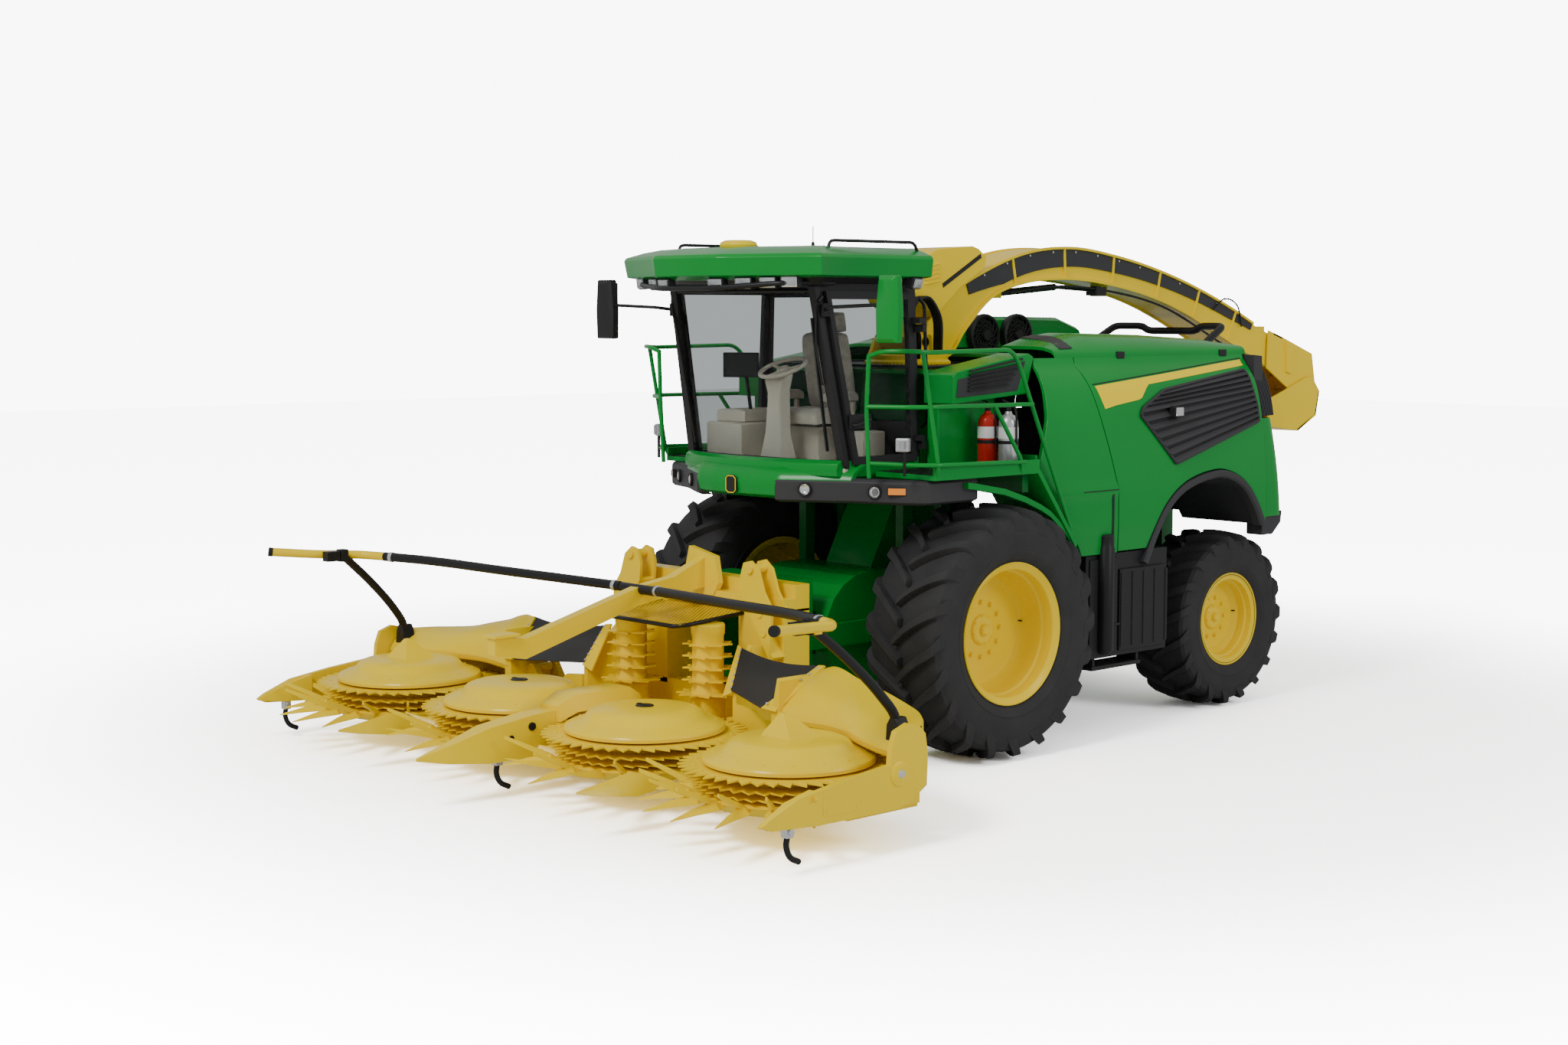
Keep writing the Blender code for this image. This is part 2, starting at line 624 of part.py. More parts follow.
def leaned(obj, side=0):
    """Shears a shape that was made on the upright cab wall onto the leaning wall."""
    shear = Matrix.Identity(4)
    if side:
        shear[0][2] = -side * LEAN_IN
        shear[0][3] = side * LEAN_IN * CAB_FLOOR
    else:
        shear[1][2] = -LEAN_FORWARD
        shear[1][3] = LEAN_FORWARD * CAB_FLOOR
    obj.data.transform(shear)
    return obj


def cab_block(name, inset, low, high):
    """The cab's outline at two heights, drawn in by an inset."""
    def corners(z):
        x = CAB_HALF_WIDTH - LEAN_IN * (z - CAB_FLOOR) - inset
        front = -1.08 - LEAN_FORWARD * (z - CAB_FLOOR) + inset
        rear = -0.28 - inset
        return [(x, front, z), (x, rear, z), (-x, rear, z), (-x, front, z)]
    return loft(name, [corners(low), corners(high)])


def cab(machine):
    green = paint("green_paint", GREEN)
    glass = paint("clear_glass", GLASS)
    charcoal = paint("charcoal", CHARCOAL)
    floor = box("floor", (-0.915, 0.915), (-1.12, -0.28), (PLATFORM_TOP - 0.0397, CAB_FLOOR))
    join(floor, box("column base", (-0.12, 0.12), (-1.02, -0.88), (CAB_FLOOR - 0.02, 2.34)),
         rod("column", (0, -0.96, CAB_FLOOR - 0.02), (0, -0.92, 2.98), 0.045),
         lathe("steering wheel", [(2.95, 0.0), (2.95, 0.17), (2.985, 0.17), (2.985, 0.0)][::-1], "Z",
               (0, -0.93, 0), 20))
    place(floor, "cab_floor", charcoal, machine)

    shell = cab_block("cab", 0.0, CAB_FLOOR + SEAT_GAP, CAB_CEILING)
    window = [(-0.995, 2.33), (-0.37, 2.33), (-0.37, 3.58), (-1.235, 3.58)]
    hinges = [box("hinge bracket", (0.84, 0.975), (-0.335, -0.295), (z - 0.06, z)) for z in (2.45, 3.35)]
    join(shell, *hinges)
    cut(shell, cab_block("cabin", 0.045, CAB_FLOOR - 0.1, CAB_CEILING + 0.1),
        plate("windshield opening", [(-0.835, 2.32), (0.835, 2.32), (0.77, 3.59), (-0.77, 3.59)], "Y",
              -1.7, -0.70),
        plate("rear opening", [(-0.80, 2.60), (0.80, 2.60), (0.77, 3.56), (-0.77, 3.56)], "Y", -0.40, -0.1),
        plate("left opening", window, "X", 0.6, 1.1), plate("right opening", window, "X", -1.1, -0.6),
        *[rod("hinge bore", (0.955, -0.315, z - 0.10), (0.955, -0.315, z + 0.05), 0.010 * BORE, PIN_SIDES)
          for z in (2.45, 3.35)])
    place(shell, "cab_frame", green, machine)

    gap = 0.0004
    place(leaned(plate("glass", [(-0.835 + gap, 2.32 + gap), (0.835 - gap, 2.32 + gap),
                                 (0.77 - gap, 3.59 - gap), (-0.77 + gap, 3.59 - gap)], "Y", -1.065, -1.057)),
          "windshield", glass, machine)
    place(plate("glass", [(-0.80 + gap, 2.60 + gap), (0.80 - gap, 2.60 + gap), (0.77 - gap, 3.56 - gap),
                          (-0.77 + gap, 3.56 - gap)], "Y", -0.306, -0.298),
          "rear_window", glass, machine)
    inner = [(-0.995 + gap, 2.33 + gap), (-0.37 - gap, 2.33 + gap), (-0.37 - gap, 3.58 - gap),
             (-1.235 + gap, 3.58 - gap)]
    place(leaned(plate("glass", inner, "X", -0.884, -0.876), -1), "side_window_right", glass, machine)

    turn = pivot("cab_door_turn", (0.955, -0.315, 2.456), machine)
    door = leaned(plate("door", [(-1.03, 2.30), (-0.345, 2.30), (-0.345, 3.60), (-1.265, 3.60)], "X",
                        0.906, 0.936), 1)
    pane = [(-0.985, 2.36), (-0.40, 2.36), (-0.40, 3.54), (-1.21, 3.54)]
    cut(door, leaned(plate("door opening", pane, "X", 0.80, 1.0), 1))
    for z in (2.45, 3.35):
        leaf = 0.910 - LEAN_IN * (z - CAB_FLOOR)
        join(door, box("lug", (leaf, 0.97), (-0.37, -0.30), (z + 0.006, z + 0.05)),
             rod("pin", (0.955, -0.315, z - 0.05), (0.955, -0.315, z + 0.02), 0.010, PIN_SIDES))
    place(door, "cab_door", green, turn)
    small = [(-0.985 + gap, 2.36 + gap), (-0.40 - gap, 2.36 + gap), (-0.40 - gap, 3.54 - gap),
             (-1.21 + gap, 3.54 - gap)]
    place(leaned(plate("glass", small, "X", 0.917, 0.925), 1), "door_glass", glass, turn)

    def roof_ring(z, grow, brow):
        half = [(0.96 + grow, -0.26), (0.97 + grow, -1.28), (0.98 + grow + brow, -1.56), (0.40, -1.80 - brow * 0.7),
                (0.30, -1.84 - brow * 0.7)]
        return [(x, y, z) for x, y in half + mirrored(half)[::-1]]
    top = loft("roof", [roof_ring(CAB_CEILING + SEAT_GAP, 0.0, -0.04), roof_ring(3.72, 0.03, 0.10),
                        roof_ring(3.86, 0.05, 0.10), roof_ring(3.91, -0.03, 0.0), roof_ring(3.95, -0.16, -0.14)])
    place(top, "cab_roof", green, machine)

    seat = box("pedestal", (-0.18, 0.18), (-0.68, -0.42), (CAB_FLOOR + SEAT_GAP, 2.55))
    join(seat, box("cushion", (-0.26, 0.26), (-0.80, -0.38), (2.53, 2.68)),
         box("backrest", (-0.25, 0.25), (-0.47, -0.36), (2.60, 3.28)),
         box("armrest left", (0.24, 0.34), (-0.74, -0.40), (2.62, 2.80)),
         box("armrest right", (-0.36, -0.24), (-0.78, -0.40), (2.62, 2.84)))
    place(bevelled(seat, 0.02), "operator_seat", paint("beige_cloth", BEIGE), machine)


def platform(machine):
    """Bumper with the lamps, walkways with rails, mirrors and ladder."""
    charcoal = paint("charcoal", CHARCOAL)
    half = [(1.49, -0.28), (1.49, -0.79), (0.95, -1.07), (0.45, -1.42)]
    back = [(0.62, -1.0003), (0.90, -0.99), (1.39, -0.73), (1.39, -0.28)]
    outline = half + mirrored(half)[::-1] + mirrored(back)[::-1] + back
    place(bevelled(plate("bumper", outline, "Z", 2.01, 2.1995), 0.01), "light_bumper", charcoal, machine)

    slope = [(-0.80, PLATFORM_TOP), (0.38, PLATFORM_TOP), (0.655, 1.875), (0.85, 1.62)]
    for word, side in SIDES:
        walk = plate("walkway", strip(slope, -0.04), "X", *span(side, 0.93, 1.55))
        pipe = [
            tube("top rail", [(side * 1.30, -1.16, 3.16), (side * 1.555, -1.03, 3.16), (side * 1.585, -0.90, 3.15),
                              (side * 1.585, -0.05, 3.16), (side * 1.575, 0.08, 3.06), (side * 1.53, 0.79, 1.72),
                              (side * 1.53, 0.80, 1.66)], 0.017),
            tube("middle rail", [(side * 1.18, -1.11, 2.75), (side * 1.565, -0.93, 2.75), (side * 1.585, -0.86, 2.75),
                                 (side * 1.575, 0.262, 2.74)], 0.017),
            tube("low rail", [(side * 1.18, -1.04, 2.33), (side * 1.565, -0.86, 2.32), (side * 1.585, -0.80, 2.32),
                              (side * 1.565, 0.20, 2.30), (side * 1.545, 0.22, 2.22)], 0.017),
            tube("front post", [(side * 1.575, -0.95, 3.155), (side * 1.575, -0.79, 2.30), (side * 1.53, -0.77, 2.22)],
                 0.017),
            tube("corner post", [(side * 1.30, -1.16, 3.16), (side * 1.18, -1.11, 2.75), (side * 1.18, -1.04, 2.33)],
                 0.017),
            tube("rear post", [(side * 1.58, -0.19, 2.75), (side * 1.565, 0.15, 2.31), (side * 1.54, 0.17, 2.22)],
                 0.017),
        ]
        place(join(walk, *pipe), "walkway_" + word, paint("green_paint", GREEN), machine)

        foot = leaned(box("foot", span(side, CAB_HALF_WIDTH + SEAT_GAP, CAB_HALF_WIDTH + 0.022), (-1.292, -1.272),
                          (3.42, 3.50)), side)
        join(foot, tube("arm", [(side * 0.858, -1.283, 3.46), (side * 1.00, -1.35, 3.48), (side * 1.60, -1.36, 3.50)],
                        0.014),
             bevelled(box("mirror", span(side, 1.52, 1.72), (-1.40, -1.32), (3.23, 3.70)), 0.02))
        place(foot, "mirror_" + word, charcoal, machine)


# ---------------------------------------------------------------- spout
SPOUT_TOP = [(0.36, 3.24), (0.50, 3.35), (0.83, 3.62), (1.18, 3.78), (1.75, 3.96), (2.31, 4.00), (2.93, 3.93),
             (3.75, 3.76), (4.63, 3.48), (5.42, 3.15)]
SPOUT_FOOT = [(5.26, 2.91), (4.64, 3.16), (4.19, 3.32), (3.55, 3.55), (2.94, 3.67), (2.16, 3.73), (1.68, 3.69),
              (1.32, 3.59), (1.08, 3.45), (0.86, 3.17), (0.36, 3.17)]


def spout(machine):
    yellow = paint("yellow_paint", YELLOW)
    y, z = SPOUT_PIVOT
    turn = pivot("spout_turn", (0, TURRET_Y, 3.0), machine)
    ring = lathe("ring", [(3.005, 0.2525), (3.005, 0.34), (3.10, 0.34), (3.10, 0.2525)], "Z",
                 (0, TURRET_Y, 0), 24, ring=True)
    for side in (1, -1):
        lug = plate("lug", [(0.30, 3.06), (0.62, 3.06), (0.52, 3.26), (0.36, 3.26)], "X", *span(side, 0.228, 0.262))
        join(ring, lug)
        join(ring, rod("pin", (side * 0.20, 0.44, 3.20), (side * 0.26, 0.44, 3.20), 0.020, PIN_SIDES))
    place(ring, "spout_turret", yellow, turn)

    lift = pivot("spout_lift", (0, 0.44, 3.20), turn)
    arm = plate("spout", SPOUT_TOP + SPOUT_FOOT, "X", -SPOUT_HALF_WIDTH, SPOUT_HALF_WIDTH)
    top = offset_path(SPOUT_TOP, -0.02)
    foot = offset_path(SPOUT_FOOT[:-1], -0.02)
    inside = [(0.52, 3.05)] + top[2:-1] + [(5.60, 3.05), (5.45, 2.80)] + foot[1:-1] + [(0.82, 3.05)]
    cut(arm, plate("crop path", inside, "X", -SPOUT_HALF_WIDTH + 0.02, SPOUT_HALF_WIDTH - 0.02),
        rod("pin bore left", (0.195, 0.44, 3.20), (0.3, 0.44, 3.20), 0.020 * BORE, PIN_SIDES),
        rod("pin bore right", (-0.3, 0.44, 3.20), (-0.195, 0.44, 3.20), 0.020 * BORE, PIN_SIDES))
    join(arm, *[rod("flap pin", (side * 0.20, DEFLECTOR_PIVOT[0] - 0.10, DEFLECTOR_PIVOT[1]),
                    (side * 0.243, DEFLECTOR_PIVOT[0] - 0.10, DEFLECTOR_PIVOT[1]), 0.012, PIN_SIDES)
                for side in (1, -1)])
    place(arm, "spout_arm", yellow, lift)

    base = [SPOUT_TOP[1], SPOUT_TOP[2], SPOUT_TOP[3]]
    seat = offset_path(base, 0.0004)
    cover = plate("cover", [(0.30, 3.46), (0.28, 3.82), (0.55, 3.96), (1.00, 3.985), (1.14, 3.90)]
                  + [seat[2], seat[1], seat[0]], "X", -0.285, 0.285)
    place(bevelled(cover, 0.02), "sensor_cover", yellow, lift)

    y1, z1 = DEFLECTOR_PIVOT[0] - 0.10, DEFLECTOR_PIVOT[1]
    flap = pivot("deflector_upper_turn", (0, y1, z1), lift)
    upper = plate("upper flap", [(5.24, 3.262), (5.47, 3.195), (5.97, 3.03), (6.04, 2.70), (5.68, 2.64), (5.22, 2.90)],
                  "X", -0.240, 0.240)
    cut(upper, plate("inside", [(5.0, 3.1), (5.1, 3.315), (5.235, 3.246), (5.463, 3.178), (5.955, 3.018), (6.02, 2.70),
                                (6.02, 2.5), (5.0, 2.5)], "X", -0.220, 0.220),
        box("rear room", (-0.22, 0.22), (5.0, 5.315), (3.1, 3.4)),
        rod("pin bore", (-0.3, y1, z1), (0.3, y1, z1), 0.012 * BORE, PIN_SIDES))
    y2, z2 = TIP_PIVOT
    join(upper, *[rod("tip pin", (side * 0.225, y2, z2), (side * 0.262, y2, z2), 0.012, PIN_SIDES)
                  for side in (1, -1)])
    place(upper, "deflector_upper", yellow, flap)

    tip = pivot("deflector_lower_turn", (0, y2, z2), flap)
    lower = plate("lower flap", [(5.86, 2.80), (5.95, 2.80), (6.075, 2.66), (6.02, 2.42), (5.72, 2.28), (5.23, 2.34),
                                 (5.22, 2.60)], "X", -0.266, 0.266)
    cut(lower, plate("inside", [(5.0, 3.0), (6.2, 3.0), (6.057, 2.68), (6.003, 2.435), (5.71, 2.298), (5.0, 2.38)], "X",
                     -0.247, 0.247),
        rod("pin bore", (-0.3, y2, z2), (0.3, y2, z2), 0.012 * BORE, PIN_SIDES))
    place(lower, "deflector_lower", yellow, tip)

    hoop = tube("hoop", [(0.66, 3.58, 3.12), (0.60, 3.98, 3.31), (0.34, 4.02, 3.31), (0.27, 4.02, 3.27),
                         (-0.27, 4.02, 3.27), (-0.34, 4.02, 3.31), (-0.60, 3.98, 3.31), (-0.66, 3.58, 3.12)], 0.035)
    join(hoop, *[box("foot", span(side, 0.58, 0.74), (3.50, 3.60), (3.0803, 3.16)) for side in (1, -1)])
    place(hoop, "spout_cradle", paint("charcoal", CHARCOAL), machine)


# ---------------------------------------------------------------- header
BASE_FOOT, BASE_TOP = 0.25, 0.33


def rotor(name, x, on):
    """Toothed cutting disc above a second disc on a drum, with the bore for the fixed post."""
    turn = pivot(name + "_spin", (x, ROTOR_Y, 0.43), on)
    profile = [(BASE_TOP + 0.008, POST_RADIUS + STUB_PLAY), (BASE_TOP + 0.008, 0.42), (0.36, 0.45), (0.36, 0.64),
               (0.385, 0.64), (0.385, 0.45), (0.475, 0.45), (0.475, ROTOR_RADIUS), (0.50, ROTOR_RADIUS),
               (0.50, POST_RADIUS + STUB_PLAY)]
    place(lathe("rotor", profile[::-1], "Z", (x, ROTOR_Y, 0), 20, ring=True), name, paint("yellow_paint", YELLOW), turn)


def dome(x):
    profile = [(BASE_FOOT + 0.02, 0.0), (BASE_FOOT + 0.02, POST_RADIUS), (0.512, POST_RADIUS), (0.512, DOME_RADIUS),
               (0.535, DOME_RADIUS), (DOME_TOP - 0.015, 0.40), (DOME_TOP, 0.36), (DOME_TOP, 0.0)]
    return lathe("dome", profile[::-1], "Z", (x, ROTOR_Y, 0), 20)


def saucer(x):
    profile = [(BASE_FOOT, 0.0), (BASE_FOOT, 0.56), (BASE_TOP, 0.62), (BASE_TOP, 0.0)]
    return lathe("saucer", profile[::-1], "Z", (x, ROTOR_Y, 0), 20)


def hinge_ear(side):
    """Outline of an ear that carries a wing's hinge pin; it leaves room for the wing's floor."""
    x, z = WING_HINGE
    outline = [(1.30, 0.28), (1.488, 0.28), (1.488, 0.36), (x + 0.035, z - 0.06), (x + 0.035, z + 0.04),
               (x - 0.04, z + 0.04), (1.30, 0.42)]
    return [(side * a, b) for a, b in outline]


def header(machine):
    yellow = paint("yellow_paint", YELLOW)
    y, z = LIFT_PIVOT
    lift = pivot("header_lift", (0, y, z), machine)

    feed = box("feed housing", (-0.47, 0.47), (-1.48, -1.02), (0.62, 1.40))
    for side in (1, -1):
        join(feed, box("arm", span(side, 0.508, 0.552), (-1.30, -0.37), (0.86, 1.04)),
             box("arm root", span(side, 0.40, 0.552), (-1.30, -1.05), (0.86, 1.04)))
        cut(feed, rod("pin bore", (side * 0.48, y, z), (side * 0.65, y, z), 0.05 * BORE, PIN_SIDES))
    cut(feed, box("crop path", (-0.38, 0.38), (-1.6, -0.9), (0.70, 1.20)))
    place(feed, "feed_roll_housing", paint("green_paint", GREEN), lift)

    frame = box("base bar", (-1.49, 1.49), (-3.10, -2.20), (BASE_FOOT + 0.006, BASE_TOP - 0.006))
    pieces = [
        box("feed floor", (-0.80, 0.80), (-2.30, -1.4803), (BASE_FOOT + 0.003, BASE_TOP - 0.003)),
        box("ring", (-0.92, 0.92), (-1.74, -1.4803), (0.30, 1.50)),
        box("divider bridge", (-0.28, 0.28), (-3.08, -2.76), (0.516, 0.55)),
        box("divider root", (-0.08, 0.08), (-3.36, -2.60), (0.518, 0.602)),
        box("divider foot", (-0.085, 0.085), (-3.42, -2.95), (0.262, 0.318)),
        loft("divider", [[(-0.09, -3.30, 0.27), (0.09, -3.30, 0.27), (0.077, -3.30, 0.60), (-0.077, -3.30, 0.60)],
                         [(-0.06, -3.95, 0.31), (0.06, -3.95, 0.31), (0.05, -3.95, 0.44), (-0.05, -3.95, 0.44)],
                         [(-0.02, -4.34, 0.36), (0.02, -4.34, 0.36), (0.015, -4.34, 0.39), (-0.015, -4.34, 0.39)]]),
        box("centre arm", (-0.05, 0.05), (-2.38, -1.70), (1.335, 1.43)),
        plate("centre arm front", [(-1.71, 1.60), (-2.05, 1.44), (-2.40, 1.40), (-3.43, 1.12), (-3.70, 1.16),
                                   (-3.70, 1.03), (-3.43, 0.98), (-2.40, 1.27), (-1.71, 1.33)], "X", -0.045, 0.045),
        rod("bar stub", (-0.185, -2.37, 1.39), (0.185, -2.37, 1.39), 0.036),
        plate("centre arm foot", [(-1.73, 1.59), (-1.60, 1.52), (-1.60, 1.40), (-1.73, 1.31)], "X", -0.10, 0.10),
        tube("feeler", [(0, -3.62, 0.34), (0, -3.63, 0.16), (0, -3.56, 0.06)], 0.018),
    ]
    for side in (1, -1):
        pieces += [
            saucer(side * 0.75), dome(side * 0.75),
            rod("drum pedestal", (side * DRUM_X, DRUM_Y, 0.30), (side * DRUM_X, DRUM_Y, 0.61), 0.13, 16),
            rod("drum spindle", (side * DRUM_X, DRUM_Y, 0.50), (side * DRUM_X, DRUM_Y, 1.05), 0.03, 16),
            plate("hook", [(side * 0.60, 1.40), (side * 0.92, 0.90), (side * 0.92, 1.30), (side * 0.76, 1.60),
                           (side * 0.62, 1.60)], "Y", -1.86, -1.70),
            plate("shield", [(-1.71, 0.97), (-1.90, 0.99), (-2.19, 0.66), (-2.19, 0.29), (-1.71, 0.29)], "X",
                  *span(side, 0.84, 1.12)),
            box("rear beam", span(side, 0.77, 1.44), (-2.17, -2.02), (BASE_FOOT + 0.009, 0.50)),
            plate("hinge ear front", hinge_ear(side), "Y", -2.27, -2.22),
            plate("hinge ear rear", hinge_ear(side), "Y", -2.06, -2.01),
            loft("spear", [[(side * 1.44, -3.05, 0.26), (side * 1.49, -3.05, 0.26), (side * 1.49, -3.05, 0.33),
                            (side * 1.44, -3.05, 0.33)],
                           [(side * 1.46, -3.81, 0.29), (side * 1.485, -3.81, 0.29), (side * 1.485, -3.81, 0.31),
                            (side * 1.46, -3.81, 0.31)]]),
        ]
    join(frame, *pieces, solver="MANIFOLD")
    hinge_x, hinge_z = WING_HINGE
    cut(frame, box("feed mouth", (-0.42, 0.42), (-2.0, -1.3), (0.62, 1.20)),
        *[rod("hinge bore", (side * hinge_x, -2.4, hinge_z), (side * hinge_x, -1.9, hinge_z), 0.015 * BORE,
              PIN_SIDES) for side in (1, -1)], solver="MANIFOLD")
    place(frame, "header_centre", yellow, lift)

    for word, side in SIDES:
        at = (side * DRUM_X, DRUM_Y)
        spin = pivot("feed_drum_spin_" + word, (*at, 0.85), lift)
        profile = [(1.10, 0.0), (1.10, 0.0308), (0.62, 0.0308), (0.62, 0.24), (0.645, 0.24), (0.66, 0.095),
                   (0.79, 0.095), (0.795, 0.17), (0.805, 0.17), (0.81, 0.095), (0.97, 0.095), (0.975, 0.17),
                   (0.985, 0.17), (0.99, 0.095), (1.15, 0.095), (1.15, 0.0)]
        place(lathe("drum", profile[::-1], "Z", (*at, 0), 16), "feed_drum_" + word, yellow, spin)
        rotor("rotor_inner_" + word, side * 0.75, lift)
        wing(word, side, lift)


def wing(word, side, lift):
    """Folding wing: base, fixed dome, outer divider, rear shield and the strut of the push bar."""
    yellow = paint("yellow_paint", YELLOW)
    hinge_x, hinge_z = WING_HINGE
    fold = pivot("wing_fold_" + word, (side * hinge_x, -2.14, hinge_z), lift)
    base = box("base bar", span(side, 1.512, 2.98), (-3.10, -2.18), (BASE_FOOT + 0.006, BASE_TOP - 0.006))
    outer = plate("outer divider", [(-2.30, 0.34), (-2.42, 0.79), (-2.87, 1.05), (-3.12, 0.60), (-3.60, 0.47),
                                    (-3.85, 0.34), (-3.76, 0.30), (-2.72, 0.28)], "X", *span(side, 2.985, 3.035))
    pieces = [
        outer, saucer(side * 2.25), dome(side * 2.25),
        box("beam", span(side, 2.90, 3.0), (-3.05, -2.15), (0.283, 0.36)),
        box("rear beam", span(side, 1.56, 3.01), (-2.205, -2.05), (BASE_FOOT + 0.009, 0.46)),
        box("hinge arm", span(side, 1.53, 1.62), (-2.21, -2.07), (0.28, 0.56)),
        rod("hinge eye", (side * hinge_x, -2.21, hinge_z), (side * hinge_x, -2.07, hinge_z), 0.035, 16),
        plate("hinge link", [(side * 1.505, 0.635), (side * 1.475, 0.59), (side * 1.53, 0.45), (side * 1.62, 0.50)],
              "Y", -2.21, -2.07),
        rod("hinge pin", (side * hinge_x, -2.265, hinge_z), (side * hinge_x, -2.015, hinge_z), 0.015, PIN_SIDES),
        plate("shield", [(side * 1.72, 0.40), (side * 1.72, 0.62), (side * 2.0, 0.95), (side * 2.60, 0.80),
                         (side * 3.0, 0.60), (side * 3.0, 0.40)], "Y", -2.17, -2.10),
        tube("strut", [(side * 2.69, -2.15, 0.60), (side * 2.70, -2.45, 0.80), (side * 2.75, -3.21, 1.48)], 0.034),
        box("strut head", span(side, 2.71, 2.79), (-3.245, -3.175), (1.43, 1.53)),
        rod("bar pin", (side * 2.75, -3.235, 1.48), (side * 2.75, -3.32, 1.48), 0.012, PIN_SIDES),
        tube("feeler", [(side * 3.0, -3.62, 0.34), (side * 2.99, -3.60, 0.16), (side * 2.98, -3.46, 0.07)], 0.018),
    ]
    join(base, *pieces)
    place(base, "wing_" + word, yellow, fold)
    rotor("rotor_outer_" + word, side * 2.25, fold)

    swing = pivot("push_bar_turn_" + word, (side * 2.75, -3.28, 1.48), fold)
    bar = tube("bar", [(side * 0.20, -2.375, 1.395), (side * 2.44, -2.85, 1.46), (side * 2.52, -3.00, 1.475),
                       (side * 2.62, -3.25, 1.49), (side * 2.75, -3.42, 1.50), (side * 3.0, -3.74, 1.53)], 0.036)
    join(bar, box("lug", span(side, 2.71, 2.79), (-3.37, -3.255), (1.44, 1.52)))
    cut(bar, rod("pin bore", (side * 2.75, -3.2, 1.48), (side * 2.75, -3.33, 1.48), 0.012 * BORE, PIN_SIDES))
    place(bar, "push_bar_" + word, paint("black_tube", BLACK), swing)


def main():
    clear_scene()
    machine = pivot("machine", (0, 0, 0))
    machine.location = (0, -ORIGIN_STATION, 0)
    chassis_frame(machine)
    running_gear(machine)
    drive_line(machine)
    body_sides(machine)
    hood(machine)
    deck(machine)
    cab(machine)
    platform(machine)
    spout(machine)
    header(machine)


main()
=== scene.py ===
"""Looks for a forage harvester with a four-rotor maize header.

Every new piece is a surface worked out in the machine's own frame, in metres.
Stations give y from the front axle; the frame's origin lies AXLE behind the front axle.
"""

import json
import math

import bmesh
import bpy
import numpy as np
from mathutils import Matrix, Vector


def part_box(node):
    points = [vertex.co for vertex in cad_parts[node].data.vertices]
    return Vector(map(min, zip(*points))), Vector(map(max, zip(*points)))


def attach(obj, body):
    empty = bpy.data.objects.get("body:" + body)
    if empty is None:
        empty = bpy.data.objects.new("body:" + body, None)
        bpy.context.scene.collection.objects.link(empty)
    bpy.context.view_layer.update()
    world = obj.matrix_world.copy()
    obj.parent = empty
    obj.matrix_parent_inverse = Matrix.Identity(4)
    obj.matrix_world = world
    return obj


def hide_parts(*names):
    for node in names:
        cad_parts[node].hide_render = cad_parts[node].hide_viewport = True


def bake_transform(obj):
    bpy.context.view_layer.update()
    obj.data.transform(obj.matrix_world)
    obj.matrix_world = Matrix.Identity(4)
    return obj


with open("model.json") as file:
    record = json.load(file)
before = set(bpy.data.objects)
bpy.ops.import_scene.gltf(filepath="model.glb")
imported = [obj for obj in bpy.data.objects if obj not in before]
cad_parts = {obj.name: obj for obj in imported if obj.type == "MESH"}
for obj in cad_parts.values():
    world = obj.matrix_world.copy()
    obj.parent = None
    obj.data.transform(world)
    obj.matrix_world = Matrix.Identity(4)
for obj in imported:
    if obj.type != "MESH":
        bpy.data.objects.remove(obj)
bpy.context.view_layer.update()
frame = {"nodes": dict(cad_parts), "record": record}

AXLE = 0.855              # the frame's origin is this far behind the front axle
TAU = 2 * math.pi
SIDES = (("left", 1), ("right", -1))
ROTORS = (("inner", 0.75), ("outer", 2.25))   # how far each pair of rotors stands from the middle
DRUM = (0.45, -2.07, 0)   # foot of the left feed drum's axis


# ---------------------------------------------------------------- surfaces
def join(*shapes):
    """One shape from several: points stacked, face indices shifted by the points before them."""
    points, faces, start = [], [], 0
    for p, f in shapes:
        points.append(p)
        faces += [tuple(i + start for i in face) for face in f]
        start += len(p)
    return np.concatenate(points), faces


def grid(points, wrap_u=False, wrap_v=False):
    """Quads over an array of points [u, v, xyz]; a wrapped direction meets its own start."""
    nu, nv = points.shape[:2]
    u, v = np.meshgrid(np.arange(nu if wrap_u else nu - 1), np.arange(nv if wrap_v else nv - 1), indexing="ij")
    u, v = u.ravel(), v.ravel()
    a, b = (u + 1) % nu, (v + 1) % nv
    quads = np.stack([u * nv + v, a * nv + v, a * nv + b, u * nv + b], axis=1)
    return points.reshape(-1, 3), [tuple(q) for q in quads.tolist()]


def turned(profile, steps=64, axis="Z", centre=(0, 0, 0), ring=False):
    """Profile (radius r, height h) turned about an axis: (r cos a, r sin a, h) for a all the way round."""
    r, h = np.array(profile, float).T
    a = np.linspace(0, TAU, steps, endpoint=False)
    flat = [np.outer(np.cos(a), r), np.outer(np.sin(a), r), np.tile(h, (steps, 1))]
    order = {"Z": (0, 1, 2), "X": (2, 0, 1), "Y": (1, 2, 0)}[axis]
    points = np.stack([flat[i] for i in order], axis=-1)
    return grid(points + np.array(centre, float), wrap_u=True, wrap_v=ring)


def eased(points, count):
    """A smooth line through points: each coordinate is a Catmull-Rom cubic of the chord length."""
    p = np.array(points, float)
    t = np.concatenate([[0], np.cumsum(np.linalg.norm(np.diff(p, axis=0), axis=1))])
    slope = np.gradient(p, t, axis=0)
    s = np.linspace(0, t[-1], count)
    i = np.clip(np.searchsorted(t, s, side="right") - 1, 0, len(t) - 2)
    w = (t[i + 1] - t[i])[:, None]
    k = ((s - t[i]) / (t[i + 1] - t[i]))[:, None]
    return ((2 * k**3 - 3 * k**2 + 1) * p[i] + (k**3 - 2 * k**2 + k) * w * slope[i]
            + (3 * k**2 - 2 * k**3) * p[i + 1] + (k**3 - k**2) * w * slope[i + 1])


